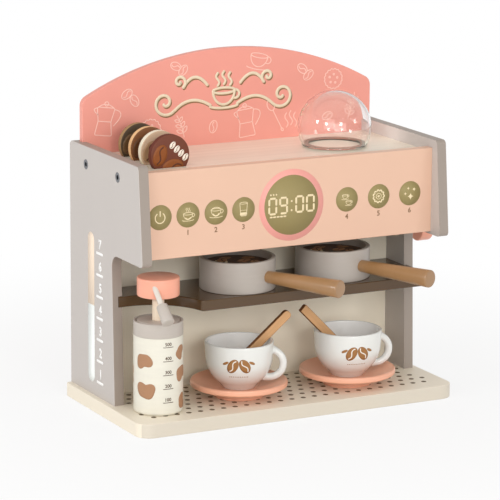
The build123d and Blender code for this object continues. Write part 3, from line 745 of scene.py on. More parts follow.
class COFFEE_OT_boards(bpy.types.Operator):
    """Paints the boards of the machine"""
    bl_idname = "coffee.boards"
    bl_label = "Boards"

    def execute(self, context):
        paints = context.scene.coffee_boards
        # Painted shade: faces of the side panels that are not turned to the left take a darker grey.
        sides = {"edge": ("X", "LESS_THAN", paints.shaded)}
        # Painted shade: the base's front and back edges take a darker cream.
        ends = {"edge": ("Y", "GREATER_THAN", paints.rim)}
        for material, colour, nodes, more in (
                ("grey_sprayed_fibreboard", paints.grey, ("left_side_panel", "right_side_panel"), sides),
                ("cream_sprayed_fibreboard", paints.cream, ("base_tray",), ends),
                # painted light: the back panel takes a brighter cream than the base and top
                ("painted_light_cream_fibreboard", paints.painted_light_cream, ("back_panel",), {}),
                ("cream_satin_top_board", paints.cream, ("top_board",), {"sheen": 0.24, "streak": 1.5}),
                ("peach_sprayed_fibreboard", paints.peach, ("front_fascia",), {}),
                ("coral_sprayed_fibreboard", paints.coral, ("header_board",), {}),
                ("brown_sprayed_board", paints.brown, ("filter_shelf",), {"sheen": 0.17, "streak": 0.5})):
            dress(sprayed_board(material, tuple(colour), **more), *nodes)
        return {"FINISHED"}


class COFFEE_OT_screws(bpy.types.Operator):
    """Plates the furniture screws"""
    bl_idname = "coffee.screws"
    bl_label = "Screws"

    def execute(self, context):
        dress(plated_steel("zinc_plated_steel"), "side_screws", "base_screws")
        return {"FINISHED"}


# ---------------------------------------------------------------- motifs

# A motif is a list of (path, closed). It is drawn about the origin and then set down.

def set_down(lines, at, size, turn):
    """A motif turned by degrees, scaled and moved."""
    return [(placed(path, at, turn, size), closed) for path, closed in lines]


def crease_line(half, swing, pace):
    """The crease of a bean: (t, swing·sin(pace·t)), with t from -half to half."""
    t = np.linspace(-half, half, 14)
    return np.column_stack((t, swing * np.sin(t * pace)))


def bean_lines(at, size, turn):
    """A coffee bean in outline, with the crease along it."""
    paths = [(oval((0, 0), 3.2, 2.1)[:-1], True), (crease_line(2.4, 0.7, 1.2), False)]
    return set_down(paths, at, size, turn)


def bean_shape(at, size, turn):
    """A filled coffee bean."""
    return moved(blob((0, 0), oval_radii(3.2, 2.1), 3), at, turn, size)


def bean_crease(at, size, turn):
    """The crease on a filled bean."""
    return band(placed(crease_line(2.5, 0.55, 1.25), at, turn, size), 0.42 * size)


def sprig_lines(at, size, turn):
    """A stalk with three pairs of leaves."""
    paths = [(bow((0, 0), (0.6, 6), (0, 12)), False)]
    leaf = np.vstack((bow((0, 0), (1.9, 0.9), (3.9, 0)), bow((3.9, 0), (1.9, -0.9), (0, 0))[1:-1]))
    for i in range(3):
        for way in (-1, 1):
            paths.append((placed(leaf, (0.3, 3.0 * i + 2.4), 90 - 52 * way, 1 - 0.12 * i), True))
    return set_down(paths, at, size, turn)


def pot_lines(at, size, turn):
    """A stove-top coffee pot: body, waist, knob, lid, handle and spout."""
    body = [(-4, -6), (4, -6), (3, 0), (4.2, 6), (-4.2, 6), (-3, 0)]
    paths = [(rounded(body, [0.6, 0.6, 0.4, 0.6, 0.6, 0.4], 4, True), True),
             (line((-3.0, 0), (3.0, 0), steps=5), False),
             (oval((0, 7.6), 0.9, 0.9)[:-1], True),
             (bow((-3.6, 6), (0, 7.4), (3.6, 6)), False),
             (bow((4.1, 5.4), (7.2, 3.4), (4.4, -1.5)), False),
             (bow((-4.2, 5.6), (-5.4, 4.6), (-3.3, 2.6)), False)]
    return set_down(paths, at, size, turn)


def wavy_ring(radius, wave_height, waves, count):
    """A ring whose radius is radius + wave_height·cos(waves·a)."""
    a = np.linspace(0, 2 * np.pi, count, endpoint=False)
    return (radius + wave_height * np.cos(waves * a))[:, None] * np.column_stack((np.cos(a), np.sin(a)))


def biscuit_lines(at, size, turn):
    """A round biscuit with holes."""
    holes = [(2.1 * np.cos(k * 1.256), 2.1 * np.sin(k * 1.256)) for k in range(5)]
    return set_down([(wavy_ring(4.6, 0.25, 16, 72), True)]
                    + [(oval(hole, 0.4, 0.4, count=12)[:-1], True) for hole in holes], at, size, turn)


def spoon_lines(at, size, turn):
    """A teaspoon."""
    return set_down([(oval((0, 6.5), 1.6, 2.4)[:-1], True), (line((0, 4.1), (0, -5.2), steps=5), False),
                     (oval((0, -5.9), 0.5, 0.7, count=14)[:-1], True)], at, size, turn)


def steam_lines(at, size, turn):
    """Three wisps of steam."""
    return set_down([(wave((x, -abs(x) * 0.4), 7.0, 0.9), False) for x in (-2.4, 0.0, 2.4)], at, size, turn)


def cup_lines(at, size, turn, foam=0.0):
    """A cup in outline on its saucer: rim, bowl, handle and saucer, with foam up to a height."""
    paths = [(oval((0, 1.6), 4.2, 1.0)[:-1], True), (oval((0, 1.6), 4.2, 4.9, 180, 360), False),
             (oval((4.3, 0.2), 1.7, 1.5, -105, 95, 18), False),
             (oval((0, -3.4), 5.6, 1.1, 200, 340, 18), False)]
    if foam:
        paths.append((oval((0, 1.9), 3.4, foam, 10, 170, 18), False))
    return set_down(paths, at, size, turn)


def inked(lines, width):
    """Strokes along every line of a motif."""
    return [band(path, width, closed) for path, closed in lines]


# ---------------------------------------------------------------- header

ORNAMENT_AT = np.array((-6.0, 257.5))
ORNAMENT_SHADE = np.array((0.8, -1.1))     # from the ornament to its printed shadow
HEADER_DRAWINGS = (
    (pot_lines, (-119, 240), 2.0, -8), (bean_lines, (-98, 262), 1.7, 35), (bean_lines, (-91, 256), 1.7, -60),
    (biscuit_lines, (-76, 229), 2.1, 0), (bean_lines, (-52, 283), 1.6, -25),
    (bean_lines, (-45, 279), 1.6, 50), (sprig_lines, (-44, 221), 1.7, 20), (cup_lines, (28, 284), 2.0, -12),
    (bean_lines, (-16, 228), 1.7, 75), (pot_lines, (16, 229), 2.0, 6), (spoon_lines, (46, 231), 2.0, 28),
    (bean_lines, (71, 273), 1.7, -40), (bean_lines, (77, 267), 1.7, 40), (biscuit_lines, (102, 262), 1.9, 12),
    (steam_lines, (60, 224), 1.8, 0), (sprig_lines, (118, 226), 1.9, -14), (bean_lines, (96, 230), 1.7, 20))


class COFFEE_OT_header_print(bpy.types.Operator):
    """Prints an ornament and small line drawings on the header"""
    bl_idname = "coffee.header_print"
    bl_label = "Header print"

    def execute(self, context):
        lay = facing_front(span("header_board")[0][1])
        sweep = []
        for way in (False, True):
            curls = [bow((13, -10.5), (31, -5), (47, -12.5)), scroll((56.5, -5.6), 11.6, -143, 1.25),
                     bow((16, 7.5), (28, 15), (39, 6.8)), scroll((42.6, 11.6), 6.2, -128, -1.1)]
            sweep += [placed(curl, (0, 0), flip=way) for curl in curls]
        cup = [path for path, _ in cup_lines((0, -2.5), 2.5, 0)]
        wisps = [wave((x, 7.2 - abs(x) * 0.2), 11.0, 1.5) for x in (-6.0, 0.0, 6.0)]
        strokes = [(path, width) for paths, width in ((sweep, 2.6), (cup, 2.2), (wisps, 2.0))
                   for path in paths]
        for name, at, ink, layer in (
                ("header_ornament_shadow", ORNAMENT_AT + ORNAMENT_SHADE, ("brown_screen_ink", "#94764F"), 1),
                ("header_ornament", ORNAMENT_AT, ("cream_screen_ink", "#E9D7BB"), 3)):
            shapes = [band(path + at, width) for path, width in strokes]
            printed(name, "machine", shapes, lay, screen_ink(*ink), layer)
        drawings = [stroke for draw, *place in HEADER_DRAWINGS for stroke in draw(*place)]
        printed("header_drawings", "machine", inked(drawings, 0.75), lay,
                screen_ink("pale_pink_screen_ink", "#FBCBBD"))
        return {"FINISHED"}


# ---------------------------------------------------------------- fascia

def cup_dial():
    """A steaming cup."""
    wisps = [band(wave((x, 2.6), 3.2, 0.45), 0.45) for x in (-1.5, 0, 1.5)]
    coffee = band(oval((0, -1.0), 2.6, 2.6, 215, 325, 16), 1.0)
    return inked(cup_lines((0, -0.6), 1.0, 0), 0.5) + wisps + [coffee]


def foam_dial():
    """A wide cup with foam."""
    return inked(cup_lines((0, 0.4), 1.1, 0, 1.5), 0.5) + [band(oval((0, 0.0), 2.9, 3.1, 210, 330, 16), 1.1)]


def glass_dial():
    """A tall glass, filled a third."""
    wall = rounded([(-3.5, 5.4), (-2.6, -5.4), (2.6, -5.4), (3.5, 5.4)], [0, 0.8, 0.8, 0], 4)
    fill = line((-2.1, -3.7), (2.1, -3.7), steps=4)
    return [band(wall, 0.5), band(oval((0, 5.4), 3.5, 0.8)[:-1], 0.45, True), band(fill, 2.6),
            band(line((-3.0, -0.6), (3.0, -0.6), steps=3), 0.35)]


def power_dial():
    """The sign for on and off."""
    return [band(arc((0, -0.4), 4.4, 128, 412, 40), 0.9), band(line((0, 1.2), (0, 4.9)), 1.1)]


def pair_dial():
    """Two small cups."""
    return inked(cup_lines((-1.8, 2.7), 0.62, 0) + cup_lines((1.6, -2.6), 0.62, 0), 0.42)


def froth_dial():
    """A scalloped ring round a small one."""
    return [band(wavy_ring(5.1, 0.55, 11, 120), 1.0, True), band(oval((0, 0), 2.5, 2.5)[:-1], 0.5, True),
            dot((0, 0), 1.1)]


def sparkle_dial():
    """Four stars."""
    stars = (((0.8, -2.8), 3.0), ((-4.4, -0.2), 1.5), ((-1.6, 4.4), 1.4), ((4.2, 3.2), 1.8))
    return [blob(at, star_radii(size)) for at, size in stars]


def clock_digit(at, segments, width=6.6, height=13.2, stroke=1.8):
    """A seven-segment digit: top, upper left, upper right, middle, lower left, lower right, bottom."""
    w, h, gap = width / 2, height / 2, stroke * 0.75
    runs = (((-w + gap, h), (w - gap, h)), ((-w, h - gap), (-w, gap)), ((w, h - gap), (w, gap)),
            ((-w + gap, 0), (w - gap, 0)), ((-w, -gap), (-w, gap - h)), ((w, -gap), (w, gap - h)),
            ((-w + gap, -h), (w - gap, -h)))
    return [band(np.array(run) + at, stroke) for run, lit in zip(runs, segments) if lit == "1"]


DIALS_ABOVE_MIDDLE = -1.2
DIALS = ((-121.6, power_dial, ""), (-96.2, cup_dial, "1"), (-70.5, foam_dial, "2"), (-45.0, glass_dial, "3"),
         (53.1, pair_dial, "4"), (84.0, froth_dial, "5"), (114.6, sparkle_dial, "6"))
CLOCK_DIGITS = ((-17.6, "1110111"), (-7.4, "1111011"), (7.8, "1110111"), (18.0, "1110111"))
DIAL_NUMBER_DROP = 14.6
DIAL_NUMBER_HEIGHT = 4.4


class COFFEE_OT_fascia_print(bpy.types.Operator):
    """Prints the dials and the clock on the front"""
    bl_idname = "coffee.fascia_print"
    bl_label = "Fascia print"

    def execute(self, context):
        sizes = context.scene.coffee_prints
        low, high = span("front_fascia")
        lay = facing_front(low[1])
        level = (low[2] + high[2]) / 2 + DIALS_ABOVE_MIDDLE
        faces = [dot((x, level), sizes.dial * 500, 64) for x, _, _ in DIALS]
        faces.append(dot((0, level), sizes.clock * 500, 128))
        signs = [moved(shape, (x, level)) for x, dial, _ in DIALS for shape in dial()]
        for x, lit in CLOCK_DIGITS:
            signs += clock_digit((x, level), lit)
        signs += [dot((0.2, level + z), 0.85) for z in (3.2, -4.6)]
        signs += [dot((-19.5 + 2.6 * k, level + 9.8), 0.75) for k in range(3)]
        dashes = [line((-19.8 + 3.2 * k, level - 9.2), (-18.2 + 3.2 * k, level - 9.2)) for k in range(5)]
        signs += [band(dash, 1.3) for dash in dashes]
        numbers = [figures(text, DIAL_NUMBER_HEIGHT, (x, level - DIAL_NUMBER_DROP), 0.02)
                   for x, _, text in DIALS if text]
        for name, shapes, ink, layer in (
                ("clock_ring", [dot((0, level), sizes.ring * 500, 128)], ("pink_screen_ink", "#F8ABA0"), 1),
                ("dial_faces", faces, ("olive_screen_ink", "#9A8B5B"), 2),
                ("dial_signs", signs, ("cream_dial_ink", "#F0DDB5"), 3),
                ("dial_numbers", numbers, ("brown_label_ink", "#8A6A4C"), 1)):
            printed(name, "machine", shapes, lay, screen_ink(*ink), layer)
        return {"FINISHED"}


# ---------------------------------------------------------------- side gauge

def strip(low, high, half, round_low, round_high, at):
    """An upright strip: at each height v, u runs from -w to w, and w falls as a circle over a round end."""
    rise = half * (1 - np.cos(np.radians(np.linspace(0, 90, 12))))
    lower = low + rise if round_low else [low]
    upper = (high - rise)[::-1] if round_high else [high]
    heights = np.concatenate((lower, upper))
    fall = np.minimum(np.where(round_low, heights - low, half), np.where(round_high, high - heights, half))
    wide = np.sqrt(np.maximum(half ** 2 - (half - np.clip(fall, 0, half)) ** 2, 0))
    count = len(heights)
    index = np.arange(count - 1)
    points = np.vstack((np.column_stack((at - wide, heights)), np.column_stack((at + wide, heights))))
    return points, np.column_stack((index, index + count, index + count + 1, index + 1)).tolist()


GAUGE_AT = -33.3         # the strip's middle, forward of the side's own zero
GAUGE_HALF = 6.4
GAUGE_LOW, GAUGE_LEVEL, GAUGE_HIGH = 22.6, 90.1, 152.6
TICK_FROM, TICK_TO, TICK_WIDTH = -21.8, -10.7, 2.4
TICK_LOWEST, TICK_PITCH, TICKS = 25.0, 18.68, 7


class COFFEE_OT_gauge_print(bpy.types.Operator):
    """Prints the level gauge on the left side"""
    bl_idname = "coffee.gauge_print"
    bl_label = "Side gauge"

    def execute(self, context):
        lay = facing_left(span("left_side_panel")[0][0])
        heights = [TICK_LOWEST + TICK_PITCH * k for k in range(TICKS)]
        marks = [band(line((TICK_FROM, z), (TICK_TO, z), steps=3), TICK_WIDTH) for z in heights]
        marks += [figures(str(k + 1), 8.6, (-15.0, z + 7.8), weight=0.035) for k, z in enumerate(heights)]
        for name, shapes, ink in (
                ("gauge_full", [strip(GAUGE_LOW, GAUGE_LEVEL, GAUGE_HALF, True, False, GAUGE_AT)],
                 ("pale_blue_screen_ink", "#F3F7F4")),
                ("gauge_empty", [strip(GAUGE_LEVEL, GAUGE_HIGH, GAUGE_HALF, False, True, GAUGE_AT)],
                 ("peach_screen_ink", "#F5E1CC")),
                ("gauge_marks", marks, ("white_screen_ink", "#FDFCFA"))):
            printed(name, "machine", shapes, lay, screen_ink(*ink))
        return {"FINISHED"}


# ---------------------------------------------------------------- tray

TRAY_FRONT, TRAY_ROWS = -57.0, 7
TRAY_REACH, TRAY_REACH_BACK = 135.0, 130.0     # half width of the rows before and between the side panels
TRAY_SIDES_FROM = -44.0


class COFFEE_OT_tray_dots(bpy.types.Operator):
    """Prints the drip tray's rows of dots on the base"""
    bl_idname = "coffee.tray_dots"
    bl_label = "Tray dots"

    def execute(self, context):
        sizes = context.scene.coffee_prints
        pitch, row, radius = sizes.pitch * 1000, sizes.row * 1000, sizes.dot * 500
        dots = []
        for k in range(TRAY_ROWS):
            y, odd = TRAY_FRONT + row * k, k % 2
            reach = TRAY_REACH if y < TRAY_SIDES_FROM else TRAY_REACH_BACK
            start = pitch / 2 * odd
            count = int((reach - start + 0.1) // pitch)
            dots += [dot((x, y), radius, 24) for x in start + pitch * np.arange(-count - odd, count + 1)]
        printed("tray_dots", "machine", dots, facing_up(span("base_tray")[1][2]),
                screen_ink("umber_screen_ink", "#6B5A40"))
        return {"FINISHED"}


# ---------------------------------------------------------------- filters

def filter_profile(radius, height):
    """Half section of a filter: a solid round with a shallow recess in its top, its edges eased."""
    inner, floor = radius - FILTER_WALL, height - FILTER_RECESS
    return rounded([(0, 0), (radius, 0), (radius, height), (inner, height), (inner, floor), (0, floor)],
                   [0, FILTER_EDGE, FILTER_EDGE, FILTER_EDGE, 0.3, 0])


def grip_profile(radius):
    """Half section of a grip: its radius grows evenly from neck to end, and its end has a rounded edge."""
    start = radius - GRIP_PEG_DEPTH
    profile = rounded([(0, start), (GRIP_NECK, start), (GRIP_END, GRIP_REACH), (0, GRIP_REACH)],
                      [0, 0, GRIP_ROUND, 0], 7)
    side = np.column_stack((np.linspace(GRIP_NECK, profile[2, 0], 12)[1:-1],
                            np.linspace(start, profile[2, 1], 12)[1:-1]))
    return np.insert(profile, 2, side, axis=0)


# Places from the disc's middle, sizes and turns of the beans on a coffee disc.
DISC_BEANS = (((9, 5), 2.1, 20), ((15, -4), 1.9, 70), ((3, -8), 2.0, -30), ((-8, 13), 2.0, 50),
              ((17, 13), 1.8, -15), ((-2, 19), 1.8, 10))


class COFFEE_OT_filters(bpy.types.Operator):
    """Makes both filters with their grips and coffee discs"""
    bl_idname = "coffee.filters"
    bl_label = "Filters"

    def execute(self, context):
        paints = context.scene.coffee_loose
        clay = turned_paint("stone_lacquered_beech", tuple(paints.clay), sheen=0.42)
        grounds = coffee_grounds("printed_coffee_grounds")
        bean = screen_ink("bean_brown_ink", "#A87C55")
        foam = screen_ink("foam_cream_ink", "#D9C6A0")
        for side, heading in GRIP_HEADING.items():
            body = side + "_filter"
            centre, radius, height = round_node(body + "_cup")
            turned_piece(body + "_turned", body, body + "_cup", filter_profile(radius, height), centre, clay,
                         columns=128)
            way = heading_way(heading)
            tan = turned_paint(side + "_tan_lacquered_beech", tuple(paints.tan), sheen=0.3, along=way,
                               lathe=0.03, coat=0.6)
            turned_piece(side + "_grip_turned", body, body + "_grip", grip_profile(radius),
                         centre + (0, 0, GRIP_HEIGHT), tan, way, 64)
            base, disc_radius, thick = round_node(side + "_coffee_puck")
            turned_piece(side + "_coffee_disc", body, side + "_coffee_puck",
                         bar_profile(disc_radius, thick, 0, 2), np.array((*centre[:2], base[2])), grounds)
            lay = facing_up(base[2] + thick)
            beans = [(centre[:2] + at, size, turn) for at, size, turn in DISC_BEANS]
            printed(side + "_disc_beans", body, [bean_shape(*place) for place in beans], lay, bean)
            printed(side + "_disc_creases", body, [bean_crease(*place) for place in beans], lay, grounds, 2)
            leaf = [band(placed(bow((0, 0), (3.2, 5.5), (0, 11)), centre[:2] + (-16, 3), turn), 2.2)
                    for turn in (-60, -15, 30)]
            printed(side + "_disc_foam", body, leaf, lay, foam)
        return {"FINISHED"}


# ---------------------------------------------------------------- cups and saucers

def cup_outer():
    """Outside half section of a cup: a sloping foot, then the round bowl up to its widest."""
    blend_angle = np.degrees(np.arcsin((CUP_FOOT_BLEND - CUP_BOWL_HEIGHT) / CUP_BOWL))
    bowl = arc((0, CUP_BOWL_HEIGHT), CUP_BOWL, blend_angle, 0, 28)
    return np.vstack((rounded([(0, 0), (CUP_FOOT, 0), bowl[0]], [0, CUP_FOOT_ROUND, 0]), bowl[1:]))


def cup_shape(centre, height, heading):
    """A cup: one turned wall, and a looped handle whose radius grows as exp(-(t/length)²) at both ends, which
    are drawn into the wall's thickness. Also gives each face's slot: 0 outside, 1 inside."""
    lip = CUP_WALL / 2
    inner_radius = CUP_BOWL - CUP_WALL
    floor_angle = np.degrees(np.arcsin((CUP_FLOOR - CUP_BOWL_HEIGHT) / inner_radius))
    rim = arc((CUP_RIM - lip, height - lip), lip, 0, 180, 11)
    inside = arc((0, CUP_BOWL_HEIGHT), inner_radius, 0, floor_angle + 3, 26)
    floor = rounded([inside[-1], (inner_radius * np.cos(np.radians(floor_angle)), CUP_FLOOR), (0, CUP_FLOOR)],
                    [0, 0.6, 0], 4)
    outer = cup_outer()
    profile = np.vstack((outer, rim, inside, floor[1:]))
    wall = skin(turned(profile, centre, columns=CUP_COLUMNS))
    # Slot 1, the inside, takes the brighter white: painted light on the inner wall.
    slots = np.zeros(len(wall[1]), int)
    slots[CUP_COLUMNS * (len(outer) + len(rim) // 2):] = 1
    wall_there = CUP_BOWL * np.cos(np.radians(CUP_LOOP_LOW_ANGLE))
    loop_top, loop_low = (CUP_BOWL - lip, CUP_LOOP_TOP), (wall_there - lip, CUP_LOOP_LOW)
    loop = circle_through(loop_top, CUP_LOOP_REACH, loop_low, 48)
    t = np.linspace(0, 1, len(loop))
    flare = np.exp(-(t / CUP_FLARE_LENGTH) ** 2) + np.exp(-((1 - t) / CUP_FLARE_LENGTH) ** 2)
    bar = CUP_LOOP * (1 + CUP_FLARE * flare)
    rings = pipe(np.column_stack((loop[:, 0], np.zeros(len(loop)), loop[:, 1])), bar)
    radial = np.hypot(rings[..., 0], rings[..., 1])
    least = np.interp(rings[..., 2], outer[:, 1], outer[:, 0]) - lip
    rings[..., :2] *= (np.maximum(radial, least) / radial)[..., None]
    a = np.radians(heading)
    turn = np.array(((np.cos(a), np.sin(a), 0), (-np.sin(a), np.cos(a), 0), (0, 0, 1)))
    handle = skin(rings @ turn + centre)
    return joined(wall, handle), np.concatenate((slots, np.zeros(len(handle[1]), int)))


def circle_through(first, through, last, count):
    """Points of the arc through three points, from the first to the last."""
    (ax, ay), (bx, by), (cx, cy) = first, through, last
    d = 2 * (ax * (by - cy) + bx * (cy - ay) + cx * (ay - by))
    a2, b2, c2 = ax ** 2 + ay ** 2, bx ** 2 + by ** 2, cx ** 2 + cy ** 2
    ux = (a2 * (by - cy) + b2 * (cy - ay) + c2 * (ay - by)) / d
    uy = (a2 * (cx - bx) + b2 * (ax - cx) + c2 * (bx - ax)) / d
    start, end = (np.degrees(np.arctan2(y - uy, x - ux)) for x, y in (first, last))
    return arc((ux, uy), np.hypot(ax - ux, ay - uy), start, end, count)


def saucer_profile(radius, height):
    """Half section of a thick dish: foot, bowed underside, rounded rim band and a dished top with a flat
    well."""
    rim_low, land = height - SAUCER_RIM, radius - SAUCER_LAND
    under = bow((SAUCER_FOOT, SAUCER_FOOT_HEIGHT),
                ((SAUCER_FOOT + radius) / 2, (SAUCER_FOOT_HEIGHT + rim_low) / 2 - SAUCER_DIP),
                (radius, rim_low))
    over = bow((land, height), ((SAUCER_WELL + land) / 2, (SAUCER_WELL_HEIGHT + height) / 2 - SAUCER_DIP),
               (SAUCER_WELL, SAUCER_WELL_HEIGHT))
    foot = rounded([(0, 0), (SAUCER_FOOT, 0), under[0]], [0, 0.7, 0])
    rim = rounded([under[-3], (radius, rim_low), (radius, height), (land, height), over[2]],
                  [0, 1.5, 1.5, 1.0, 0], 8)
    return np.vstack((foot, under[1:-3], rim, over[3:], [(0, SAUCER_WELL_HEIGHT)]))


class COFFEE_OT_cups(bpy.types.Operator):
    """Makes both cups and saucers"""
    bl_idname = "coffee.cups"
    bl_label = "Cups and saucers"

    def execute(self, context):
        paints = context.scene.coffee_loose
        # The second melamine, on the inside, is a brighter white: painted light on the inner wall.
        melamine = [glossy_moulding("white_moulded_melamine", tuple(paints.white)),
                    glossy_moulding("painted_light_melamine", tuple(paints.inside_light))]
        blush = turned_paint("blush_lacquered_beech", tuple(paints.blush), sheen=0.36)
        brown = screen_ink("cup_brown_ink", "#A0703F")
        white = screen_ink("cup_white_ink", "#F4EFE6")
        outer = np.vstack((cup_outer(), [(CUP_RIM, CUP_SIDE_HEIGHT)]))
        for side, heading in CUP_HEADING.items():
            cup, saucer = side + "_cup", side + "_saucer"
            centre, radius, height = round_node(saucer)
            turned_piece(saucer + "_turned", saucer, saucer, saucer_profile(radius, height), centre, blush,
                         columns=144)
            low, high = span(cup)
            foot = np.array((*centre[:2], low[2]))
            shape, slots = cup_shape(foot, high[2] - low[2], heading)
            piece(cup + "_moulded", cup, shape, melamine, slots, replaces=[cup])

            def radius_at(z, foot_z=foot[2]):
                return np.interp(z - foot_z, outer[:, 1], outer[:, 0])

            lay = round_side(foot, radius_at, heading - 90, CUP_BOWL)
            at = np.array((0.0, foot[2] + CUP_MARK_HEIGHT))
            beans = [(at + (-5.2, -0.4), 2.1, 58), (at + (5.2, -0.4), 2.1, 122)]
            marks = [bean_shape(*place) for place in beans]
            marks += [blob(at + place, oval_radii(2.9, 1.15), 2, turn)
                      for place, turn in (((-11.4, 2.0), 25), ((11.4, 2.2), -25))]
            marks += [dot(at + (1.7 * k, -10.2), 0.45, 14) for k in range(-5, 6)]
            printed(cup + "_beans", cup, marks, lay, brown)
            printed(cup + "_creases", cup, [bean_crease(*place) for place in beans], lay, white, 2)
        return {"FINISHED"}


# ---------------------------------------------------------------- stirrers

def stick_line(side):
    """Foot and tip of a stick that leans from the bowl over the rim, in the cup's place."""
    rim_angle, foot_angle, foot_height, over = STICK_LEAN[side]
    cup_low, cup_high = span(side + "_cup")
    centre = np.array((*middle(side + "_saucer")[:2], cup_low[2]))
    half = STICK_WIDTH / 2
    inner = CUP_BOWL - CUP_WALL
    wall = np.sqrt(inner ** 2 - (CUP_BOWL_HEIGHT - foot_height + half) ** 2) - STICK_FOOT_INSET
    a, b = np.radians(foot_angle), np.radians(rim_angle)
    foot = centre + (wall * np.cos(a), wall * np.sin(a), foot_height)
    rim = CUP_RIM - STICK_RIM_INSET
    rest = centre + (rim * np.cos(b), rim * np.sin(b), cup_high[2] - cup_low[2])
    rise = rest - foot
    run = np.hypot(rise[0], rise[1])
    skew = abs(rise[0] * np.sin(b) - rise[1] * np.cos(b)) / run
    lift = (half * np.linalg.norm(rise) + skew * STICK_THICK / 2 * rise[2]) / run
    rest = rest + (0, 0, lift + STICK_SEAT)
    return foot, rest + unit(rest - foot) * over


def stick_shape(foot, tip, ends):
    """A flat stick: rectangular sections along its line, whose width falls as a circle at both ends. Also
    gives each face's slot: 0 on the two flat sides, 1 on the cut edges."""
    along = unit(tip - foot)
    across = unit(np.cross(along, (0, 0, 1)))
    up = np.cross(across, along)
    length, half = np.linalg.norm(tip - foot), STICK_WIDTH / 2
    fall = [end * (1 - np.cos(np.radians(np.linspace(0, 90, 12)))) for end in ends]
    s = np.concatenate((fall[0], np.linspace(ends[0], length - ends[1], 24)[1:-1], length - fall[1][::-1]))
    narrow = np.zeros(len(s))
    for end, far in zip(ends, (s, length - s)):
        near = np.clip(end - far, 0, end)
        narrow = np.maximum(narrow, end - np.sqrt(end ** 2 - near ** 2))
    section = rounded([(half, STICK_THICK / 2), (-half, STICK_THICK / 2), (-half, -STICK_THICK / 2),
                       (half, -STICK_THICK / 2)], [STICK_EDGE] * 4, 4, True)
    wide = section[None, :, 0] * ((half - narrow) / half)[:, None]
    rings = foot + s[:, None, None] * along + wide[..., None] * up + section[None, :, 1, None] * across
    points, faces = skin(rings)
    columns, index = len(section), np.arange(len(faces))
    on_side = index < (len(s) - 1) * columns
    flat = on_side & np.isin(index % columns, (columns // 4 - 1, 3 * columns // 4 - 1))
    return (points, faces), np.where(flat, 0, 1)


class COFFEE_OT_stirrers(bpy.types.Operator):
    """Makes both stirring sticks"""
    bl_idname = "coffee.stirrers"
    bl_label = "Stirrers"

    def execute(self, context):
        paints = context.scene.coffee_loose
        for side, ends in STICK_ENDS.items():
            foot, tip = stick_line(side)
            wood = bare_wood(side + "_bare_beech", tuple(paints.beech), along=tip - foot)
            burnt = bare_wood(side + "_laser_cut_edge", tuple(paints.burnt), along=tip - foot, ring=5.0)
            shape, slots = stick_shape(foot, tip, ends)
            piece(side + "_stirrer_stick", side + "_stirrer", shape, [wood, burnt], slots,
                  replaces=[side + "_stirrer"])
        return {"FINISHED"}


# ---------------------------------------------------------------- pump bottle

def cow_spot(at, size, turn):
    """A lumpy spot: r = size·(1 + 0.17·cos 2a + 0.1·cos(3a + 1) + 0.07·cos(4a + 3))."""
    a = np.linspace(0, 2 * np.pi, 56, endpoint=False)
    radii = size * (1 + 0.17 * np.cos(2 * a) + 0.1 * np.cos(3 * a + 1) + 0.07 * np.cos(4 * a + 3))
    return blob(at, radii, 6, turn)


# Across from the front mark, height above the foot, size and turn of each spot on the bottle.
SPOTS = ((-12.2, 58.6, 7.0, 10), (-10.4, 33.6, 7.8, 172), (22.4, 65.0, 5.6, 60), (24.5, 47.0, 6.8, 20),
         (25.5, 22.5, 6.0, 100), (-34.0, 44.0, 7.4, 80), (-42.5, 66.0, 5.4, 20), (-55.0, 28.0, 7.6, 140),
         (44.0, 60.0, 7.2, 30), (46.0, 31.0, 7.8, 75), (-36.0, 21.0, 5.2, 0), (60.0, 47.0, 6.2, 120))
SCALE_MARKS = ((73.3, "500"), (61.4, "400"), (49.6, "300"), (37.9, "200"), (26.2, "100"))


def bottle_profile(radius, height):
    """Half section of the bottle: round foot edge, a seat for the lid's spigot and a bore for the spring."""
    socket, seat = LID_SPIGOT + LID_SIDE_GAP, height - LID_SPIGOT_HEIGHT
    ledge, well = seat - LID_SEAT_GAP, seat - BOTTLE_WELL_DEPTH
    return rounded([(0, 0), (radius, 0), (radius, height), (socket, height), (socket, ledge),
                    (BOTTLE_WELL, ledge), (BOTTLE_WELL, well), (0, well)],
                   [0, BOTTLE_FOOT_ROUND, 0.4, 0, 0, 0, 0, 0], 8)


def lid_profile(radius, top):
    """Section of the lid as a closed line: spigot below, a ring groove in the top, and the stem's hole."""
    hole, lip = STEM_RADIUS + STEM_HOLE_GAP, radius - LID_LIP
    floor, inner = top - LID_GROOVE_DEPTH, lip - LID_GROOVE
    return rounded([(hole, -LID_SPIGOT_HEIGHT), (LID_SPIGOT, -LID_SPIGOT_HEIGHT), (LID_SPIGOT, 0),
                    (radius, 0), (radius, top), (lip, top), (lip, floor), (inner, floor), (inner, top),
                    (hole, top)],
                   [0, 0, 0, 0.4, 0.4, 0.3, 0.3, 0.3, 0.4, 0.3], 5, True)


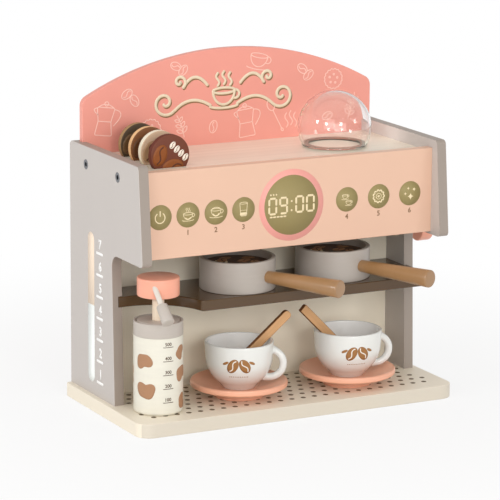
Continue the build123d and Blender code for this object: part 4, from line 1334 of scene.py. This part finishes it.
class COFFEE_OT_bottle(bpy.types.Operator):
    """Makes the milk bottle, its lid and its prints"""
    bl_idname = "coffee.bottle"
    bl_label = "Milk bottle"

    def execute(self, context):
        paints = context.scene.coffee_loose
        milk = turned_paint("milk_lacquered_beech", tuple(paints.milk), sheen=0.4)
        stone = turned_paint("stone_lacquered_lid", tuple(paints.stone), sheen=0.42)
        foot, radius, height = round_node("bottle_body")
        turned_piece("bottle_turned", "bottle", "bottle_body", bottle_profile(radius, height), foot, milk,
                     columns=112)
        lid_low = foot + (0, 0, height)
        ring = lid_profile(radius, (span("bottle_lid")[1] - lid_low)[2])
        piece("bottle_lid_turned", "bottle", skin(turned(ring, lid_low, columns=112), loop=True), [stone],
              replaces=["bottle_lid"])
        lay = round_side(foot, lambda z: np.full(len(z), radius), MARK_HEADING, radius)
        printed("bottle_spots", "bottle", [cow_spot((u, v), size, turn) for u, v, size, turn in SPOTS], lay,
                screen_ink("cow_brown_ink", "#A97E5E"))
        scale = [figures(text, 2.9, (9.4, z), 0.02) for z, text in SCALE_MARKS]
        scale += [band(line((5.0, z - 2.6), (13.8, z - 2.6), steps=12), 0.55) for z, _ in SCALE_MARKS]
        printed("bottle_scale", "bottle", scale, lay, screen_ink("umber_scale_ink", "#5A4634"))
        return {"FINISHED"}


class COFFEE_OT_pump(bpy.types.Operator):
    """Makes the pump's spring, stem, knob and spout"""
    bl_idname = "coffee.pump"
    bl_label = "Pump"

    def execute(self, context):
        paints = context.scene.coffee_loose
        salmon = turned_paint("salmon_lacquered_beech", tuple(paints.salmon), sheen=0.4)
        stone = turned_paint("stone_lacquered_nozzle", tuple(paints.stone), sheen=0.42, ring=1.4)
        dowel = bare_wood("bare_dowel", tuple(paints.dowel), along=(0, 0, 1), ring=1.2)
        chalk = turned_paint("chalk_lacquered_peg", tuple(paints.chalk), sheen=0.42, lathe=0.05)
        foot, _, length = round_node("pump_stem")
        profile = rounded([(0, STEM_LIFT), (STEM_FLANGE, STEM_LIFT), (STEM_FLANGE, STEM_FLANGE_THICK),
                           (STEM_RADIUS, STEM_FLANGE_THICK), (STEM_RADIUS, length), (0, length)],
                          [0, 0.3, 0.3, 0, 0.2, 0], 4)
        turned_piece("pump_stem_dowel", "pump", "pump_stem", profile, foot, dowel, columns=48)
        foot, radius, height = round_node("pump_knob")
        turned_piece("pump_knob_turned", "pump", "pump_knob", bar_profile(radius, height, 1.2, 7), foot,
                     salmon)
        way = np.array((0, -np.cos(np.radians(SPOUT_TILT)), -np.sin(np.radians(SPOUT_TILT))))
        peg = bar_profile(PEG_RADIUS, PEG_LENGTH, 0.2, 5)
        nozzle = bar_profile(NOZZLE_NECK, NOZZLE_LENGTH, NOZZLE_EDGE, 5, NOZZLE_END)
        for name, node, start, profile, material in (
                ("spout_peg_dowel", "spout_peg", -PEG_LENGTH / 2, peg, chalk),
                ("spout_nozzle_turned", "spout_nozzle", NOZZLE_START, nozzle, stone)):
            turned_piece(name, "pump", node, profile, middle("spout_peg") + way * start, material, way, 48)
        foot, radius, height = round_node("pump_spring")
        rings = coiled(foot + (0, 0, SPRING_WIRE), radius - SPRING_WIRE, height - 2 * SPRING_WIRE,
                       SPRING_TURNS, SPRING_WIRE)
        spring = piece("pump_spring_coil", "bottle", skin(rings), [plated_steel("zinc_plated_spring_wire")],
                       replaces=["pump_spring"])
        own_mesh(spring)
        return {"FINISHED"}


# ---------------------------------------------------------------- pods, dome and steam knob

# Face, edge and bean colours of each pod, from the front to the back. The rear pods' darker faces and edges
# are partly their own colour and partly painted shade from the pod in front.
POD_COLOURS = (("#6C3219", "#6A3020", "#8C4C1A"), ("#CDAE90", "#F8EBD4", "#B08A66"),
               ("#7A4A22", "#EDC08C", "#5E3818"), ("#4A3822", "#A88A60", "#6A4E2E"))
POD_COLUMNS = 112


class COFFEE_OT_pods(bpy.types.Operator):
    """Makes the four round coffee pods"""
    bl_idname = "coffee.pods"
    bl_label = "Coffee pods"

    def execute(self, context):
        crease = screen_ink("pod_crease_ink", "#5A2C14")
        cream = screen_ink("pod_cream_ink", "#F4E9DA")
        for k, (face, edge, bean) in enumerate(POD_COLOURS):
            node, body = f"coffee_pod_{k + 1}", f"pod_{k + 1}"
            low, high = span(node)
            at = middle(node)[[0, 2]]
            profile = bar_profile((high[2] - low[2]) / 2, high[1] - low[1], 0.6, 5)
            shape = skin(turned(profile, np.array((at[0], high[1], at[1])), (0, -1, 0), POD_COLUMNS))
            rows = np.arange(len(shape[1])) // POD_COLUMNS
            paint = turned_paint(node + "_face_paint", linear(face), sheen=0.55, coat=0.0, lathe=0.05)
            rim = bare_wood(node + "_edge_wood", linear(edge), along=(1, 0, 0), ring=1.5)
            piece(node + "_turned", body, shape, [paint, rim], np.where(rows == len(profile) // 2 - 1, 1, 0),
                  replaces=[node])
            beans = [(at + (-9.4, 0.6), 2.9, 68), (at + (2.4, -9.4), 3.0, 6)]
            row = [(at + (2.0 + 3.9 * n, 8.6 - 3.6 * n), 1.05, 50) for n in range(4)]
            lay = facing_front(low[1])
            for kind, crease_kind, places, ink in (
                    ("_beans", "_creases", beans, screen_ink(node + "_bean_ink", bean)),
                    ("_bean_row", "_row_creases", row, cream)):
                printed(node + kind, body, [bean_shape(*place) for place in places], lay, ink)
                printed(node + crease_kind, body, [bean_crease(*place) for place in places], lay, crease, 2)
        return {"FINISHED"}


class COFFEE_OT_dome(bpy.types.Operator):
    """Makes the clear bean dome"""
    bl_idname = "coffee.dome"
    bl_label = "Bean dome"

    def execute(self, context):
        base, radius, height = round_node("bean_dome")
        centre = base + (0, 0, height - radius)
        cut = radius - height
        start = np.degrees(np.arcsin(cut / radius))
        inner, shelf = radius - DOME_WALL, cut + DOME_FOOT_THICK
        edge = radius * np.cos(np.radians(start))
        opening = edge - DOME_FOOT_WIDTH
        inside = arc((0, 0), inner, 90, np.degrees(np.arcsin(shelf / inner)), 60)
        outside = arc((0, 0), radius, start + 3.0, 90, 60)
        foot = rounded([inside[-1], (opening, shelf), (opening, cut), (edge, cut), outside[0]],
                       [0, 0.4, 0.4, DOME_FOOT_ROUND, 0], 6)
        profile = np.vstack((inside, foot[1:-1], outside))
        profile[[0, -1], 0] = 0
        shape = skin(turned(profile, centre, columns=DOME_COLUMNS))
        rows = np.arange(len(shape[1])) // DOME_COLUMNS
        # The foot's faces take a grey-green tint: painted shade and reflection in the thick clear foot.
        slots = np.where((rows >= len(inside) - 1) & (rows < len(inside) + len(foot) - 3), 1, 0)
        dome = piece("bean_dome_moulded", "dome", shape,
                     [clear_moulding("clear_moulded_polystyrene", "#FCFDFD"),
                      clear_moulding("shaded_polystyrene_foot", "#A9AFA4")], slots, replaces=["bean_dome"])
        dome.visible_shadow = False
        return {"FINISHED"}


class COFFEE_OT_steam_knob(bpy.types.Operator):
    """Makes the steam knob, its dowel and collar"""
    bl_idname = "coffee.steam_knob"
    bl_label = "Steam knob"

    def execute(self, context):
        paints = context.scene.coffee_loose
        salmon = turned_paint("salmon_lacquered_knob", tuple(paints.salmon), sheen=0.4, along=(1, 0, 0))
        dowel = bare_wood("bare_steam_dowel", tuple(paints.dowel), along=(1, 0, 0), ring=1.2)
        for name, node, edge, hole, material in (
                ("steam_knob_turned", "steam_knob", 1.2, 0, salmon),
                ("steam_shaft_dowel", "steam_shaft", 0.2, 0, dowel),
                ("steam_collar_turned", "steam_collar", 0.3, COLLAR_HOLE, dowel)):
            low, high = span(node)
            start = np.array((low[0], *middle(node)[1:]))
            radius, length = (high[2] - low[2]) / 2, high[0] - low[0]
            if hole:
                corners = [(hole, 0), (radius, 0), (radius, length), (hole, length)]
                ring = rounded(corners, [edge] * 4, 4, True)
                piece(name, "steam_valve", skin(turned(ring, start, (1, 0, 0), 64), loop=True), [material],
                      replaces=[node])
            else:
                turned_piece(name, "steam_valve", node, bar_profile(radius, length, edge, 7), start, material,
                             (1, 0, 0))
        return {"FINISHED"}


# ---------------------------------------------------------------- stage

def facing(place, right, up, back):
    """The place of a lamp or camera whose own axes lie along right, up and back."""
    return Matrix.Translation(place) @ Matrix(np.column_stack((right, up, back)).tolist()).to_4x4()


def lamp(name, place, size, power):
    """A soft lamp of a width and height at a place, turned to the machine."""
    light = bpy.data.lights.new(name, "AREA")
    light.shape = "RECTANGLE"
    light.size, light.size_y = size
    light.energy = power
    back = unit(np.subtract(place, LAMP_AIM))
    right = unit(np.cross((0, 0, 1), back))
    return put(name, light, facing(place, right, np.cross(back, right), back))


CAMERA_AIM = np.array((-0.0215, -0.0192, 0.1357))
SENSOR_WIDTH = 36.0
FLOOR_HALF = 15
LAMP_AIM = (0.0, 0.0, 0.15)
WINDOW_REACH, WINDOW_HEIGHT, WINDOW_SIZE = 2.2, 0.95, (0.36, 0.44)
WINDOWS = ((-177.6, 2.4), (-144.6, 1.1), (-96.6, 1.1), (-46.6, 0.8))    # heading and share of the power


class COFFEE_OT_stage(bpy.types.Operator):
    """Sets the floor, the light and the camera"""
    bl_idname = "coffee.stage"
    bl_label = "Stage"

    def execute(self, context):
        stage, scene = context.scene.coffee_stage, context.scene
        turn, rise = stage.azimuth, stage.elevation
        forward = np.array((-np.sin(turn) * np.cos(rise), np.cos(turn) * np.cos(rise), -np.sin(rise)))
        level = np.array((np.cos(turn), np.sin(turn), 0.0))
        upright = np.cross(level, forward)
        right = level * np.cos(stage.roll) + upright * np.sin(stage.roll)
        up = -level * np.sin(stage.roll) + upright * np.cos(stage.roll)
        data = bpy.data.cameras.new("camera")
        data.sensor_width, data.lens, data.clip_end = SENSOR_WIDTH, stage.lens, 100.0
        scene.camera = put("camera", data, facing(CAMERA_AIM - forward * stage.distance, right, up, -forward))
        scene.view_settings.view_transform = "Standard"

        mesh = bpy.data.meshes.new("floor")
        corners = [(x * FLOOR_HALF, y * FLOOR_HALF, 0) for x, y in ((-1, -1), (1, -1), (1, 1), (-1, 1))]
        mesh.from_pydata(corners, [], [(0, 1, 2, 3)])
        floor = put("floor", mesh)
        material, tree, shader, place = material_with(
            "white_studio_paper", Roughness=0.9, Specular_IOR_Level=0.1, Base_Color=(0.86, 0.86, 0.86, 1.0))
        white = (1.0, 1.0, 1.0, 1.0)
        glow = add(tree, "Emission", {"Color": white, "Strength": 1.0})
        path = add(tree, "LightPath")
        seen = path.outputs["Is Camera Ray"]
        for kind in ("Is Glossy Ray", "Is Transmission Ray"):
            seen = add(tree, "Math", {0: seen, 1: path.outputs[kind]}, operation="MAXIMUM").outputs["Value"]
        reach = add(tree, "VectorMath", {0: place}, operation="LENGTH")
        clean = add(tree, "MapRange", {"Value": reach.outputs["Value"], "From Min": 0.2, "From Max": 0.6,
                                       "To Min": 0.78, "To Max": 1.0}, interpolation_type="SMOOTHSTEP")
        share = add(tree, "Math", {0: seen, 1: clean.outputs["Result"]}, operation="MULTIPLY")
        mix = add(tree, "MixShader", {0: share.outputs["Value"], 1: shader.outputs["BSDF"],
                                      2: glow.outputs["Emission"]})
        tree.links.new(mix.outputs["Shader"], tree.nodes["Material Output"].inputs["Surface"])
        mesh.materials.append(material)

        world = bpy.data.worlds.new("studio")
        scene.world = world
        world.use_nodes = True
        tree = world.node_tree
        base = tree.nodes["Background"]
        base.inputs["Color"].default_value = (1.0, 0.985, 0.965, 1.0)
        base.inputs["Strength"].default_value = stage.sky
        plain = add(tree, "Background", {"Color": white, "Strength": 1.0})
        path = add(tree, "LightPath")
        mix = add(tree, "MixShader", {0: path.outputs["Is Camera Ray"], 1: base.outputs["Background"],
                                      2: plain.outputs["Background"]})
        tree.links.new(mix.outputs["Shader"], tree.nodes["World Output"].inputs["Surface"])
        lamp("front_lamp", (-0.4, -2.3, 0.55), (1.6, 1.0), stage.front)
        lamp("roof_lamp", (0.1, -0.3, 2.3), (1.6, 1.6), stage.roof)
        lamp("brow_lamp", (-1.5, -1.7, 1.2), (1.1, 1.1), stage.brow)
        for k, (heading, share) in enumerate(WINDOWS):
            at = heading_way(heading) * WINDOW_REACH + (0, 0, WINDOW_HEIGHT)
            lamp(f"window_lamp_{k + 1}", at, WINDOW_SIZE, stage.window * share)
        return {"FINISHED"}


# ---------------------------------------------------------------- panel and registration

OPERATORS = (COFFEE_OT_boards, COFFEE_OT_screws, COFFEE_OT_header_print, COFFEE_OT_fascia_print,
             COFFEE_OT_gauge_print, COFFEE_OT_tray_dots, COFFEE_OT_filters, COFFEE_OT_cups,
             COFFEE_OT_stirrers, COFFEE_OT_bottle, COFFEE_OT_pump, COFFEE_OT_pods, COFFEE_OT_dome,
             COFFEE_OT_steam_knob, COFFEE_OT_stage)


class COFFEE_PT_panel(bpy.types.Panel):
    """Lists the steps that dress the coffee maker"""
    bl_label = "Coffee Maker"
    bl_idname = "COFFEE_PT_panel"
    bl_space_type = "VIEW_3D"
    bl_region_type = "UI"
    bl_category = "Coffee Maker"

    def draw(self, context):
        for settings in (context.scene.coffee_boards, context.scene.coffee_loose, context.scene.coffee_prints,
                         context.scene.coffee_stage):
            column = self.layout.column(align=True)
            for name in settings.__annotations__:
                column.prop(settings, name)
        for operator in OPERATORS:
            self.layout.operator(operator.bl_idname)


GROUPS = {"coffee_boards": BoardPaints, "coffee_loose": LoosePaints, "coffee_prints": PrintSizes,
          "coffee_stage": StageSettings}


def register():
    """Registers the classes and hangs the settings on the scene."""
    for item in (*GROUPS.values(), *OPERATORS, COFFEE_PT_panel):
        bpy.utils.register_class(item)
    for name, group in GROUPS.items():
        setattr(bpy.types.Scene, name, PointerProperty(type=group))


def unregister():
    """Takes the settings and the classes away again."""
    for name in GROUPS:
        delattr(bpy.types.Scene, name)
    for item in (COFFEE_PT_panel, *reversed(OPERATORS), *GROUPS.values()):
        bpy.utils.unregister_class(item)


def dress_coffee_maker():
    """Runs every step in order."""
    register()
    for operator in OPERATORS:
        group, name = operator.bl_idname.split(".")
        if getattr(getattr(bpy.ops, group), name)() != {"FINISHED"}:
            raise RuntimeError(f"{operator.bl_label} did not finish")


if __name__ == "__main__":
    dress_coffee_maker()
